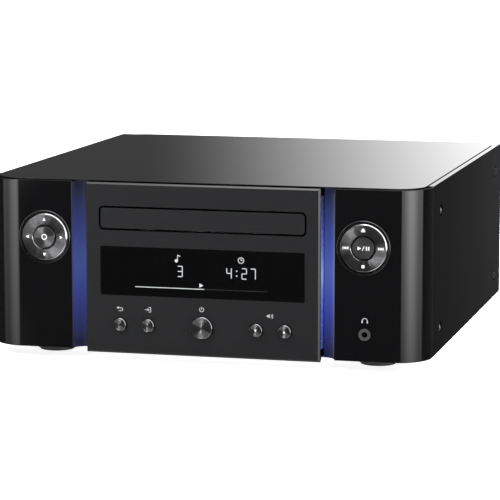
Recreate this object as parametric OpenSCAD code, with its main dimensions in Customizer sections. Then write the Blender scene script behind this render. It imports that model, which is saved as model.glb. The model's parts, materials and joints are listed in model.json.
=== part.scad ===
// Compact disc receiver: a tray player, radio and amplifier in one gloss-fronted case.
// Front faces -Y, +X is the right side seen from the front, +Z is up, and z = 0 is the table.

/* [Case] */
// Overall width
body_w = 280; // [270:1:310]
// Overall height, feet included
body_h = 112.4; // [111:0.2:118]
// Overall depth, from the faces of the buttons to the terminal posts
body_d = 303; // [300:1:340]
// Height of the feet
foot_h = 6; // [5:0.5:8]
// Radius of a foot
foot_r = 13; // [10:0.5:16]
// Thickness of the rubber pad under a foot
pad_t = 1; // [0.6:0.1:1.6]
// Thickness of the steel sheet
sheet_t = 1.2; // [0.8:0.1:1.6]
// Thickness of the gloss top plate
plate_t = 0.5; // [0.4:0.1:2]
// Inset of the top plate from the case sides
plate_inset = 4; // [2:0.1:5]
// Set-back of the top plate from the face of the front
plate_set = 1.7; // [1:0.1:4]
// Radius of the head of a case screw
screw_head_r = 3.6; // [3:0.1:4.2]
// Thickness of the head of a case screw
screw_head_t = 1; // [0.6:0.1:1.6]

/* [Front] */
// Depth of the moulded front
front_d = 24; // [23:0.5:30]
// Plan radius of the outer front corners
corner_r = 22; // [16:0.5:22.5]
// Wall of the gloss wings
wing_t = 2.5; // [2:0.1:3]
// Height of the underside of the wings above the table
wing_z = 6.3; // [5:0.1:8]
// Width of the centre panel
panel_w = 149; // [142:0.5:152]
// Thickness of the centre panel
panel_t = 3; // [2.6:0.1:3.2]
// Height of the bottom edge of the centre panel above the table
panel_z = 4.5; // [3:0.5:6]
// Chamfer round the face of the centre panel
panel_chamfer = 1.2; // [0.6:0.1:1.6]
// Drop of the panel's top edge below the tops of the wings
panel_drop = 0.4; // [0:0.1:1]
// Radius of the lit coves beside the centre panel
cove_r = 8.9; // [8.4:0.1:9.6]
// Thickness of the light guides behind the edges of the centre panel
guide_t = 1.2; // [0.8:0.1:1.6]

/* [Display] */
// Width of the display window
window_w = 130.4; // [110:0.2:134]
// Height of the display window
window_h = 30.6; // [24:0.1:31]
// How far the window sits above the middle of the space between the buttons and the tray
window_rise = 0.525; // [-1:0.025:1]

/* [Tray] */
// Width of the tray opening in the front
slot_w = 132; // [131.2:0.2:134]
// Height of the tray opening in the front
slot_h = 15.1; // [14.1:0.1:15.6]
// Distance of the centre of the tray opening below the top of the case
slot_drop = 23.25; // [22.5:0.25:24]
// Gap round the tray door
door_gap = 1.2; // [0.8:0.1:1.4]
// Thickness of the tray door
door_t = 4; // [3:0.2:5]
// Width of the disc tray
tray_w = 128; // [126:0.2:128.4]
// Thickness of the disc tray
tray_t = 8; // [7.4:0.1:8.2]
// Diameter of the recess for a disc
recess_d = 121.2; // [120.6:0.2:122]
// Depth of the recess for a disc
recess_h = 5; // [4:0.1:5.4]
// Travel of the tray
tray_travel = 138; // [120:1:138]
// Teeth of the tray gear
gear_teeth = 20; // [18:1:20]
// Module of the tray gear and its rack
gear_m = 1; // [0.9:0.05:1]

/* [Buttons] */
// Radius of the small round buttons
small_r = 4.15; // [3.6:0.05:4.8]
// Radius of the power button
power_r = 7; // [6:0.1:7.6]
// How far the round buttons stand proud of the front
button_proud = 1.8; // [1.2:0.1:2.6]
// Height of the row of buttons above the table
button_z = 22.8; // [21:0.1:24]
// Gap round a button in its hole
button_gap = 0.35; // [0.25:0.05:0.5]
// Travel of a button
button_travel = 0.8; // [0.5:0.1:0.8]
// Spacing of the inner small buttons from the power button
inner_pitch = 34.5; // [30:0.5:36]
// Spacing of the outer small buttons from the inner ones
outer_pitch = 18.1; // [14:0.1:18.5]

/* [Rings] */
// Distance of the rings from the centre line
ring_x = 101.3; // [101:0.1:103]
// Distance of the centre of the rings below the top of the case
ring_drop = 36.4; // [35:0.2:41]
// Outer radius of a ring
ring_r = 15; // [14.6:0.1:15.1]
// Outer radius of a ring bezel
bezel_r = 16.7; // [16.5:0.1:17]
// How far the rings stand proud of the front
ring_proud = 1; // [0.8:0.1:1.4]
// Radius of the button in the middle of a ring
middle_r = 6.75; // [6:0.05:6.8]
// Height of the phones jack above the table
phones_z = 23.1; // [21:0.1:25]
// Radius of the bore of the phones jack
phones_bore_r = 1.8; // [1.75:0.05:2]

/* [Rear] */
// How far the terminal posts stand out behind the rear panel
post_reach = 12; // [11:0.5:14]
// Radius of a terminal post cap
cap_r = 6.5; // [5.5:0.1:7]
// Bore of a post cap, for a plug
plug_bore_r = 2.05; // [2:0.05:2.3]
// Spacing of the terminal posts
post_pitch = 19; // [17:0.5:22]
// Radius of the barrel of a signal jack
jack_r = 4.1; // [3.8:0.1:4.4]

/* [Hidden] */
$fn = 48;

// Clearance between flat faces that do not touch
gap = 0.3;
// Radial running clearance of a shaft in its hole
run = 0.05;
// Overlap of a cutting shape past the face that it cuts
cut = 1;

front_reach = max(button_proud, ring_proud);
front_y = -body_d / 2 + front_reach;
rear_y = body_d - front_reach - post_reach;
half_w = body_w / 2;
cover_z = body_h - plate_t;
floor_z = foot_h + sheet_t;
ceiling_z = cover_z - sheet_t;
wing_top = cover_z - gap;
slot_z = body_h - slot_drop;
ring_z = body_h - ring_drop;
window_z = (button_z + power_r + button_gap + slot_z - slot_h / 2) / 2 + window_rise;

// Places along the depth, measured from the face of the front
switch_y = 10;
board_y = 13;
board_t = 1.6;
frame_y = 16;
frame_t = 2.5;
seam_y = rear_y - 13;
foot_x = half_w - 35.5;
foot_y = [32, rear_y - 26];
screw_y = [49.5, rear_y - 26];
screw_z = [floor_z + 14, cover_z - 17.5];

// Places of the disc mechanism
tray_bot = slot_z - 4.25;
tray_top = tray_bot + tray_t;
disc_y = 76;
loader_t = 2;
loader_z = tray_bot - 21.5;
loader_x = tray_w / 2 + 1;
loader_y = [22, 200];
damper_t = 2;
loader_post = [58, 34, 186];

module at_front() {
    translate([0, front_y, 0]) children();
}

// A box from its low corner to its high corner
module span(lo, hi) {
    translate(lo) cube(hi - lo);
}

// Turns a drawing made about +Z to lie about +Y
module along_y() {
    rotate([-90, 0, 0]) children();
}

module rod_x(x0, x1, y, z, r) {
    translate([x0, y, z]) rotate([0, 90, 0]) cylinder(h = x1 - x0, r = r);
}

module rod_y(x, z, y0, y1, r) {
    translate([x, y0, z]) along_y() cylinder(h = y1 - y0, r = r);
}

module rod_z(x, y, z0, z1, r) {
    translate([x, y, z0]) cylinder(h = z1 - z0, r = r);
}

// Extrudes an x-z drawing from y0 to y1
module sheet_xz(y0, y1) {
    translate([0, y1, 0]) rotate([90, 0, 0]) linear_extrude(y1 - y0) children();
}

// A rectangle with true round corners, about the origin
module round_rect(w, h, r) {
    square([w - 2 * r, h], center = true);
    square([w, h - 2 * r], center = true);
    for (sx = [-1, 1], sy = [-1, 1]) {
        translate([sx * (w / 2 - r), sy * (h / 2 - r)]) circle(r);
    }
}

module both_sides() {
    for (s = [0, 1]) mirror([s, 0, 0]) children();
}

// Case

flange_h = 24;
ear_w = 16;
ear_top = 7;
wall_x = half_w - sheet_t - gap;
lip_h = 14;
standoff_r = 3;
main_half = 54;
main_y = [rear_y - 73, rear_y - 20];
board_inner_x = tray_w / 2 + 8;
amp_x = [board_inner_x, half_w - 10];
amp_y = [70, rear_y - 56];
supply_x = [-half_w + 8, -board_inner_x];
supply_y = [60, rear_y - 26];
board_z = floor_z + 12;
screw_shank_r = 1.5;

module case_wall() {
    span([wall_x - sheet_t, front_d, foot_h], [wall_x, rear_y - sheet_t, floor_z + flange_h]);
    for (y = screw_y) {
        span([wall_x - sheet_t, y - ear_w / 2, foot_h], [wall_x, y + ear_w / 2, cover_z - ear_top]);
    }
}

module board_posts(x, y, z) {
    inset = 6;
    for (px = [x[0] + inset, x[1] - inset], py = [y[0] + inset, y[1] - inset]) {
        rod_z(px, py, foot_h, z, standoff_r);
    }
}

module chassis_base() color("dimgray") at_front() difference() {
    union() {
        span([-wall_x, front_d, foot_h], [wall_x, rear_y - sheet_t, floor_z]);
        span([-wall_x, front_d, foot_h], [wall_x, front_d + sheet_t, floor_z + lip_h]);
        span([-half_panel, panel_skirt + gap, foot_h], [half_panel, front_d + cut, floor_z]);
        both_sides() case_wall();
        for (sx = [-1, 1], y = [loader_post[1], loader_post[2]]) {
            rod_z(sx * loader_post[0], y, foot_h, loader_z - damper_t, 4);
        }
        board_posts([-main_half, main_half], main_y, board_z);
        board_posts(amp_x, amp_y, board_z);
        board_posts(supply_x, supply_y, board_z);
    }
    both_sides() for (y = screw_y, z = screw_z) {
        rod_x(wall_x - sheet_t - cut, wall_x + cut, y, z, screw_shank_r + run);
    }
}

module cover_drawing(d) {
    difference() {
        span([-half_w, 0, wing_z], [half_w, d, cover_z]);
        span([-half_w + sheet_t, -cut, wing_z - cut], [half_w - sheet_t, d + cut, ceiling_z]);
    }
}

module top_cover() color([0.09, 0.09, 0.1]) at_front() difference() {
    translate([0, front_d, 0]) cover_drawing(seam_y - gap - front_d);
    both_sides() for (y = screw_y, z = screw_z) {
        rod_x(half_w - sheet_t - cut, half_w + cut, y, z, screw_head_r + gap);
    }
}

// The plate follows the round front corners and has round rear corners
plate_r = corner_r - plate_inset;
plate_rear = rear_y - 2;

module top_plate() color([0.05, 0.05, 0.06]) at_front() {
    translate([0, (plate_set + plate_rear) / 2, cover_z]) linear_extrude(plate_t) {
        round_rect(body_w - 2 * plate_inset, plate_rear - plate_set, plate_r);
    }
}

// Rear panel and what shows through it
terminal_x = half_w - 68;
terminal_z = 36;
terminal_h = 26;
terminal_w = 4 * post_pitch + 2;
jack_z = [34, 54];
net_z = 34;
net_w = 13;
net_h = 11;
inlet_x = -half_w + 25;
net_x = inlet_x + 33;
jack_pitch = 18;
jack_x = [for (i = [2 : -1 : 0]) net_x + 28 + i * jack_pitch];
inlet_z = 34;
inlet_w = 27;
inlet_h = 20;
vent_count = 17;
vent_pitch = 12;
vent_w = 3;
vent_h = 14;
vent_z = cover_z - 21;
rear_screws = [
    [half_w - 15, 20], [terminal_x - 52, 62], [net_x + 14, 70],
    [-half_w + 15, 62], [half_w - 15, 70], [jack_x[0] + jack_pitch, 20]
];

module rear_panel() color([0.12, 0.12, 0.13]) at_front() difference() {
    union() {
        translate([0, seam_y, 0]) cover_drawing(rear_y - seam_y);
        span([-half_w, rear_y - sheet_t, wing_z], [half_w, rear_y, cover_z]);
    }
    sheet_xz(rear_y - sheet_t - cut, rear_y + cut) {
        translate([terminal_x, terminal_z]) round_rect(terminal_w, terminal_h, 2);
        for (x = jack_x, z = jack_z) translate([x, z]) circle(jack_collar_r + gap);
        translate([net_x, net_z]) square([net_w, net_h], center = true);
        translate([inlet_x, inlet_z]) round_rect(inlet_w + 2 * gap, inlet_h + 2 * gap, 3);
        for (i = [0 : vent_count - 1]) {
            translate([(i - (vent_count - 1) / 2) * vent_pitch, vent_z]) round_rect(vent_w, vent_h, 1.4);
        }
        for (p = rear_screws) translate(p) circle(screw_shank_r + run);
    }
}

module feet() color([0.08, 0.08, 0.08]) at_front() {
    rim = 2.5;
    for (sx = [-1, 1], y = foot_y) translate([sx * foot_x, y, 0]) rotate_extrude() polygon([
        [rim, pad_t], [foot_r - 1, pad_t], [foot_r, pad_t + 1], [foot_r, foot_h - 0.5],
        [foot_r - 0.5, foot_h], [rim, foot_h]
    ]);
}

module foot_pads() color([0.15, 0.15, 0.15]) at_front() {
    for (sx = [-1, 1], y = foot_y) rod_z(sx * foot_x, y, 0, pad_t, foot_r - 2);
}

// A screw about +Z, with its head from z = 0 up and its shank below
module case_screw(shank) {
    difference() {
        union() {
            cylinder(h = screw_head_t, r = screw_head_r);
            translate([0, 0, -shank]) cylinder(h = shank + screw_head_t / 2, r = screw_shank_r);
        }
        for (a = [0, 90]) rotate([0, 0, a]) translate([0, 0, screw_head_t]) {
            cube([screw_head_r * 1.1, 0.9, screw_head_t], center = true);
        }
    }
}

module case_screws() color([0.2, 0.2, 0.21]) at_front() {
    both_sides() for (y = screw_y, z = screw_z) {
        translate([wall_x, y, z]) rotate([0, 90, 0]) case_screw(4);
    }
    for (p = rear_screws) translate([p[0], rear_y, p[1]]) along_y() case_screw(4);
}

// Front

half_panel = panel_w / 2;
inner_x = half_panel + gap;
panel_top = wing_top - panel_drop;
panel_skirt = 10;
skirt_t = 2;
skirt_x = half_panel - guide_t;
panel_boss = [half_panel - 4.5, window_z - window_h / 2 - 5.5, panel_top - 5];
window_lip = 2;
frame_half = half_w - wing_t - 2;
strip_z = [12, 31];
strip_half = 120;
side_board = [88, 94];
board_post_z = [16, 91];
phones_x = ring_x + 1.1;

// Button holes as [x, radius]
holes = [
    [-inner_pitch - outer_pitch, small_r], [-inner_pitch, small_r], [0, power_r],
    [inner_pitch, small_r], [inner_pitch + outer_pitch, small_r]
];

module front_frame() color([0.1, 0.1, 0.11]) at_front() {
    z0 = wing_z + wing_t;
    z1 = wing_top - wing_t;
    difference() {
        span([-frame_half, frame_y, z0], [frame_half, frame_y + frame_t, z1]);
        span([-loader_x - 3, frame_y - cut, tray_bot - 5], [loader_x + 3, frame_y + frame_t + cut, z1 - 6]);
        span([-30, frame_y - cut, 14], [30, frame_y + frame_t + cut, 60]);
    }
    both_sides() {
        span([90, frame_y + frame_t, floor_z + 3], [110, front_d, floor_z + lip_h - 1]);
        for (z = board_post_z) rod_y(strip_half - 6, z, board_y + board_t, frame_y, 2.5);
    }
}

module panel_edge_cuts() {
    c = panel_chamfer * sqrt(2);
    mid_z = (panel_z + panel_top) / 2;
    for (s = [-1, 1]) {
        translate([s * half_panel, 0, mid_z]) rotate([0, 0, 45]) cube([c, c, 2 * body_h], center = true);
    }
    for (z = [panel_z, panel_top]) {
        translate([0, 0, z]) rotate([45, 0, 0]) cube([2 * panel_w, c, c], center = true);
    }
}

module center_panel() color([0.17, 0.17, 0.18]) at_front() difference() {
    union() {
        difference() {
            span([-half_panel, 0, panel_z], [half_panel, panel_skirt, panel_top]);
            span(
                [skirt_t - skirt_x, panel_t, panel_z + skirt_t],
                [skirt_x - skirt_t, panel_skirt + cut, panel_top - skirt_t]
            );
            both_sides() span(
                [skirt_x, panel_t, panel_z - cut],
                [half_panel + cut, panel_skirt + cut, panel_top + cut]
            );
        }
        both_sides() for (z = [panel_boss[1], panel_boss[2]]) {
            rod_y(panel_boss[0], z, panel_t / 2, frame_y, 2.2);
        }
    }
    panel_edge_cuts();
    sheet_xz(-cut, panel_t + cut) {
        translate([0, slot_z]) round_rect(slot_w, slot_h, 3);
        translate([0, window_z]) round_rect(window_w, window_h, 0.8);
        for (h = holes) translate([h[0], button_z]) circle(h[1] + button_gap);
    }
}

// Takes the outside of a round corner away from a plan of the right wing
module corner_cut(r) {
    difference() {
        translate([half_w - corner_r, corner_r - r - cut]) square(r + cut);
        translate([half_w - corner_r, corner_r]) circle(r);
    }
}

module wing_plan() {
    difference() {
        translate([inner_x, 0]) square([half_w - inner_x, front_d - gap]);
        corner_cut(corner_r);
        translate([half_panel, 0]) circle(cove_r);
    }
}

module wing_hollow() {
    difference() {
        translate([inner_x - cut, wing_t]) square([half_w - wing_t - inner_x + cut, front_d]);
        corner_cut(corner_r - wing_t);
        translate([half_panel, 0]) circle(cove_r + wing_t);
    }
}

sleeve_r = ring_r + 1.2;

module wing() {
    difference() {
        translate([0, 0, wing_z]) linear_extrude(wing_top - wing_z) wing_plan();
        translate([0, 0, wing_z + wing_t]) linear_extrude(wing_top - wing_z - 2 * wing_t) wing_hollow();
        rod_y(ring_x, ring_z, -cut, sleeve_y + gap, sleeve_r + run);
    }
}

module left_wing() color([0.03, 0.03, 0.035]) at_front() mirror([1, 0, 0]) wing();

module right_wing() color([0.03, 0.03, 0.035]) at_front() difference() {
    wing();
    rod_y(phones_x, phones_z, -cut, wing_t + cut, phones_barrel_r + run);
}

module light_guide() {
    span([skirt_x, panel_t, panel_z + 7.5], [half_panel, panel_skirt, panel_top - 5]);
}

module left_light_guide() color([0.25, 0.4, 1]) at_front() mirror([1, 0, 0]) light_guide();

module right_light_guide() color([0.25, 0.4, 1]) at_front() light_guide();

module display_window() color([0.03, 0.03, 0.04]) at_front() translate([0, 0, window_z]) {
    sheet_xz(0, panel_t + 1) round_rect(window_w - 2 * run, window_h - 2 * run, 0.8);
    sheet_xz(panel_t, panel_t + 1) {
        square([window_w + 2 * window_lip, window_h + 2 * window_lip], center = true);
    }
}

module display_module() color([0.1, 0.25, 0.15]) at_front() translate([0, 0, window_z]) {
    sheet_xz(panel_t + 1, panel_t + 4) square([window_w - 12, window_h - 4], center = true);
    sheet_xz(panel_t + 4, panel_t + 5.6) square([window_w - 4, window_h + 2], center = true);
}

// One board behind the buttons, with an arm up behind each ring
module control_board() color([0.05, 0.3, 0.15]) at_front() sheet_xz(board_y, board_y + board_t) {
    translate([-strip_half, strip_z[0]]) square([2 * strip_half, strip_z[1] - strip_z[0]]);
    both_sides() translate([side_board[0], strip_z[0]]) {
        square([strip_half - side_board[0], side_board[1] - strip_z[0]]);
    }
}

// A switch on the board, with its plunger reaching forward to y
module tact_switch(x, z, y) {
    body = 6;
    body_y = max(y + 0.6, board_y - 3.4);
    span([x - body / 2, body_y, z - body / 2], [x + body / 2, board_y, z + body / 2]);
    rod_y(x, z, y, board_y - 1, 1.7);
}

ring_switch_r = 9;
ring_switch_y = 7.8;

module tact_switches() color([0.7, 0.7, 0.72]) at_front() {
    for (h = holes) tact_switch(h[0], button_z, switch_y);
    for (sx = [-1, 1]) {
        tact_switch(sx * ring_x, ring_z, switch_y);
        for (a = [0 : 90 : 270]) {
            tact_switch(sx * ring_x + ring_switch_r * cos(a), ring_z + ring_switch_r * sin(a), ring_switch_y);
        }
    }
}

// Buttons

button_flange = 1.1;
button_bevel = 0.4;
stem_end = switch_y - button_travel - 0.1;

// A round push button about +Y, with a flange behind the panel and a stem to its switch
module push_button(r, face, flange_y, stem_r) {
    along_y() rotate_extrude() polygon([
        [0, -face], [r - button_bevel, -face], [r, -face + button_bevel], [r, flange_y],
        [r + button_flange, flange_y], [r + button_flange, flange_y + 1.2],
        [stem_r, flange_y + 1.2], [stem_r, stem_end], [0, stem_end]
    ]);
}

module row_button(i) {
    translate([holes[i][0], 0, button_z]) push_button(holes[i][1], button_proud, panel_t + gap, 2);
}

module back_button() color("silver") at_front() row_button(0);

module input_button() color("silver") at_front() row_button(1);

module power_button() color("silver") at_front() row_button(2);

module volume_down_button() color("silver") at_front() row_button(3);

module volume_up_button() color("silver") at_front() row_button(4);

// Rings: each rocks about X on a gimbal, and about Z on the ring's own pins

pivot_y = 5;
pivot_r = 0.8;
skirt_r = [middle_r + 0.6, 9.1];
gimbal_r = [9.7, 12.3];
gimbal_t = 2.6;
lug_r = 12.9;
bezel_t = 0.6;
bezel_break = 0.35;
ring_bevel = 0.9;
ring_break = 0.6;
middle_bevel = 0.3;
ring_dish = 0.35;
sleeve_y = 7;
ring_gap = 0.5;

module ring_bezel() {
    inner = ring_r + ring_gap;
    difference() {
        union() {
            along_y() rotate_extrude() polygon([
                [inner, -bezel_t], [bezel_r - bezel_break, -bezel_t],
                [bezel_r, bezel_break - bezel_t], [bezel_r, 0],
                [sleeve_r, 0], [sleeve_r, sleeve_y], [inner, sleeve_y]
            ]);
            both_sides() span([lug_r, pivot_y - 2, -3], [inner + 0.3, sleeve_y, 3]);
        }
        both_sides() rod_x(lug_r - cut, inner + 0.1, pivot_y, 0, pivot_r + run);
    }
}

module ring_gimbal() {
    difference() {
        union() {
            along_y() translate([0, 0, pivot_y - gimbal_t / 2]) difference() {
                cylinder(h = gimbal_t, r = gimbal_r[1]);
                translate([0, 0, -cut]) cylinder(h = gimbal_t + 2 * cut, r = gimbal_r[0]);
            }
            both_sides() rod_x((gimbal_r[0] + gimbal_r[1]) / 2, ring_r - 0.3, pivot_y, 0, pivot_r);
        }
        rod_z(0, pivot_y, -gimbal_r[1] - cut, gimbal_r[1] + cut, pivot_r + run);
    }
}

module rocker_ring() {
    along_y() rotate_extrude() polygon([
        [skirt_r[0], ring_break + ring_dish - ring_proud],
        [skirt_r[0] + ring_break, ring_dish - ring_proud],
        [ring_r - ring_bevel, -ring_proud], [ring_r, ring_bevel - ring_proud],
        [ring_r, 0.9], [skirt_r[1], 0.9],
        [skirt_r[1], switch_y - 2.8], [skirt_r[0], switch_y - 2.8]
    ]);
    for (s = [-1, 1]) {
        rotate([0, s > 0 ? 0 : 180, 0]) rod_z(0, pivot_y, skirt_r[1] - 0.5, gimbal_r[1] - 0.4, pivot_r);
    }
}

module middle_button() {
    along_y() rotate_extrude() polygon([
        [0, -ring_proud], [middle_r - middle_bevel, -ring_proud],
        [middle_r, middle_bevel - ring_proud], [middle_r, switch_y - 3],
        [2.4, switch_y - 2.2], [2.4, stem_end], [0, stem_end]
    ]);
}

module at_ring(s) {
    at_front() translate([s * ring_x, 0, ring_z]) children();
}

module cursor_bezel() color("gray") at_ring(-1) ring_bezel();

module cursor_gimbal() color("dimgray") at_ring(-1) ring_gimbal();

module cursor_ring() color("silver") at_ring(-1) rocker_ring();

module enter_button() color("silver") at_ring(-1) middle_button();

module transport_bezel() color("gray") at_ring(1) ring_bezel();

module transport_gimbal() color("dimgray") at_ring(1) ring_gimbal();

module transport_ring() color("silver") at_ring(1) rocker_ring();

module play_button() color("silver") at_ring(1) middle_button();

phones_barrel_r = 3.3;
phones_flange_r = 3.75;
phones_bore_depth = 12;

module phones_jack() color([0.1, 0.1, 0.1]) at_front() translate([phones_x, 0, phones_z]) difference() {
    union() {
        rod_y(0, 0, -0.7, 0, phones_flange_r);
        rod_y(0, 0, -0.7, wing_t + cut, phones_barrel_r);
        span([-5, wing_t, -5], [5, board_y, 5]);
    }
    rod_y(0, 0, -cut, phones_bore_depth, phones_bore_r);
}

// Disc mechanism

rail_h = 4;
tray_body_y = 160;
tray_rear_y = 192;
arm_w = 20;
slot_r = 19;
small_disc_r = 40.5;
wall_t = 3;
wall_top = tray_top + 4.5;
pitch_r = gear_m * gear_teeth / 2;
rack_x = -54;
rack_back = 3;
gear_x = rack_x + pitch_r;
gear_y = 32;
gear_z = [tray_bot - 2.6, tray_bot - gap];
gear_post_r = 2;
backlash = 0.12;
belt_z = [loader_z + 8, loader_z + 11];
drum_r = 11;
pulley_r = 3;
belt_t = 1;
belt_gap = 0.15;
motor_at = [-46, 78];
motor_r = 10;
motor_h = 22;
motor_shaft_r = 1;

module tray_door() color([0.2, 0.2, 0.21]) at_front() translate([0, 0, slot_z]) {
    sheet_xz(0, door_t) round_rect(slot_w - 2 * door_gap, slot_h - 2 * door_gap, 2.2);
}

// A row of straight-sided teeth along Y, their tips towards +X, a tooth centred at gear_y
module rack_drawing() {
    pitch = PI * gear_m;
    low = -floor((gear_y - 16) / pitch);
    high = floor((tray_rear_y - gear_y - 2) / pitch);
    root = 1.25 * gear_m;
    half = pitch / 4 - backlash / 2;
    lean = tan(20);
    translate([rack_x - root - rack_back, 14]) square([rack_back, tray_rear_y - 14]);
    for (i = [low : high]) translate([rack_x, gear_y + i * pitch]) polygon([
        [-root - 0.1, -half - lean * root], [gear_m, -half + lean * gear_m],
        [gear_m, half - lean * gear_m], [-root - 0.1, half + lean * root]
    ]);
}

module disc_tray() color([0.12, 0.12, 0.13]) at_front() {
    difference() {
        union() {
            span([-tray_w / 2, door_t, tray_bot], [tray_w / 2, tray_body_y, tray_top]);
            both_sides() translate([tray_w / 2 - arm_w, 0, tray_bot]) {
                span([0, tray_body_y - cut, 0], [arm_w, tray_rear_y, rail_h]);
            }
        }
        rod_z(0, disc_y, tray_top - recess_h, tray_top + cut, recess_d / 2);
        rod_z(0, disc_y, tray_top - recess_h - 1, tray_top, small_disc_r);
        rod_z(0, disc_y, tray_bot - cut, tray_top, slot_r);
        span([-slot_r, disc_y, tray_bot - cut], [slot_r, tray_body_y + cut, tray_top + cut]);
    }
    translate([0, 0, tray_bot - 2.3]) linear_extrude(2.8) rack_drawing();
}

traverse_pivot = [158, loader_z + 11.5];
traverse_half = 30;
well_half = traverse_half + 3;
well_y = [44, traverse_pivot[0] + 8];
pivot_pin_r = 2;
ear_x = [34, 38];

module loader_chassis() color([0.14, 0.14, 0.15]) at_front() difference() {
    x1 = loader_x + wall_t;
    y0 = loader_y[0];
    y1 = loader_y[1];
    union() {
        difference() {
            span([-x1, y0, loader_z], [x1, y1, loader_z + loader_t]);
            span([-well_half, well_y[0], loader_z - cut], [well_half, well_y[1], loader_z + loader_t + cut]);
        }
        both_sides() {
            span([loader_x, y0, loader_z], [x1, y1, wall_top]);
            span([loader_x - 5, y0, tray_bot - gap - 2.5], [loader_x + cut, y1, tray_bot - gap]);
            span([loader_x - 3, y0, tray_top + gap], [loader_x + cut, y0 + 30, tray_top + gap + 2]);
            translate([0, traverse_pivot[0], 0]) {
                span([ear_x[0], -6, loader_z], [ear_x[1], 6, traverse_pivot[1] + 5]);
            }
        }
        rod_z(gear_x, gear_y, loader_z, gear_z[1] - 0.4, gear_post_r);
    }
    both_sides() {
        rod_x(ear_x[0] - cut, ear_x[1] + cut, traverse_pivot[0], traverse_pivot[1], pivot_pin_r + run);
    }
    rod_z(motor_at[0], motor_at[1], loader_z - cut, loader_z + loader_t + cut, 3);
}

module dampers() color([0.1, 0.1, 0.1]) at_front() {
    for (sx = [-1, 1], y = [loader_post[1], loader_post[2]]) {
        rod_z(sx * loader_post[0], y, loader_z - damper_t, loader_z, 5);
    }
}

module loading_motor() color("silver") at_front() translate([motor_at[0], motor_at[1], 0]) difference() {
    union() {
        rod_z(0, 0, loader_z - motor_h, loader_z, motor_r);
        rod_z(0, 0, loader_z - 1, loader_z + 3, 2.8);
    }
    rod_z(0, 0, loader_z - 12, loader_z + 4, motor_shaft_r + run);
}

module motor_pulley() color("gold") at_front() translate([motor_at[0], motor_at[1], 0]) {
    rod_z(0, 0, loader_z - 10, belt_z[1] + 1, motor_shaft_r);
    rod_z(0, 0, belt_z[0] - 1, belt_z[1] + 1, pulley_r);
    for (z = [belt_z[0] - 1, belt_z[1] + 0.4]) rod_z(0, 0, z, z + 0.6, pulley_r + 1.2);
}

module belt_loop(grow) {
    hull() {
        translate([gear_x, gear_y]) circle(drum_r + grow);
        translate(motor_at) circle(pulley_r + grow);
    }
}

module loading_belt() color([0.08, 0.08, 0.08]) at_front() {
    translate([0, 0, belt_z[0]]) linear_extrude(belt_z[1] - belt_z[0]) difference() {
        belt_loop(belt_gap + belt_t);
        belt_loop(belt_gap);
    }
}

// Involute flank points of one half tooth, as [radius, half angle]
base_r = pitch_r * cos(20);
tip_r = pitch_r + gear_m;
foot_circle_r = pitch_r - 1.25 * gear_m;
pitch_half = 90 / gear_teeth - backlash / 2 / pitch_r * 180 / PI / 2;

function involute(r) = let (a = acos(min(1, base_r / r))) tan(a) * 180 / PI - a;
function flank_angle(r) = pitch_half + involute(pitch_r) - involute(r);

flank_r = [for (i = [0 : 4]) max(base_r, foot_circle_r) + i / 4 * (tip_r - max(base_r, foot_circle_r))];

function tooth_points(a) = concat(
    [[foot_circle_r, a - flank_angle(flank_r[0])]],
    [for (r = flank_r) [r, a - flank_angle(r)]],
    [for (i = [4 : -1 : 0]) [flank_r[i], a + flank_angle(flank_r[i])]],
    [[foot_circle_r, a + flank_angle(flank_r[0])]]
);

// A tooth space faces the rack, which lies towards -X
module gear_drawing() {
    polygon([
        for (i = [0 : gear_teeth - 1], p = tooth_points(180 + (i + 0.5) * 360 / gear_teeth))
            [p[0] * cos(p[1]), p[0] * sin(p[1])]
    ]);
}

module tray_gear() color("ivory") at_front() translate([gear_x, gear_y, 0]) difference() {
    union() {
        translate([0, 0, gear_z[0]]) linear_extrude(gear_z[1] - gear_z[0]) gear_drawing();
        rod_z(0, 0, loader_z + loader_t + gap, gear_z[1], 5);
        rod_z(0, 0, belt_z[0] - 0.8, belt_z[1] + 0.8, drum_r);
    }
    rod_z(0, 0, loader_z, gear_z[1] + cut, gear_post_r + run);
}

bridge_y = [disc_y - 18, disc_y + 18];
bridge_t = 2;
puck_r = 12;

module clamp_bridge() color("gray") at_front() difference() {
    span([-loader_x - wall_t, bridge_y[0], wall_top], [loader_x + wall_t, bridge_y[1], wall_top + bridge_t]);
    rod_z(0, disc_y, wall_top - cut, wall_top + bridge_t + cut, puck_r + 0.6);
}

module disc_clamp() color("ivory") at_front() translate([0, disc_y, 0]) {
    rod_z(0, 0, tray_top + 0.8, wall_top + bridge_t + 0.5, puck_r);
    rod_z(0, 0, wall_top + bridge_t + run, wall_top + bridge_t + 2, puck_r + 3.5);
}

// Traverse: a frame that tips down about its rear pins, and all that it carries

deck_z = [traverse_pivot[1] - 1.5, traverse_pivot[1] + 1.5];
deck_y = [50, traverse_pivot[0] + 3];
rod_at = [20, deck_z[1] + 3];
rod_r = 1.5;
block_y = [disc_y + 8, disc_y + 73];
block_t = 3;
screw_x = -26;
screw_axis_z = deck_z[1] + 3.8;
feed_r = 1.8;
journal_r = 1.2;
sled_y = [disc_y + 14, disc_y + 36];
lens_y = disc_y + 22;
seat_z = tray_top - recess_h + 0.8;
spindle_r = 1.2;
feed_motor_y = [disc_y + 73, traverse_pivot[0] + 2];
feed_motor_r = 3.6;

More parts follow.
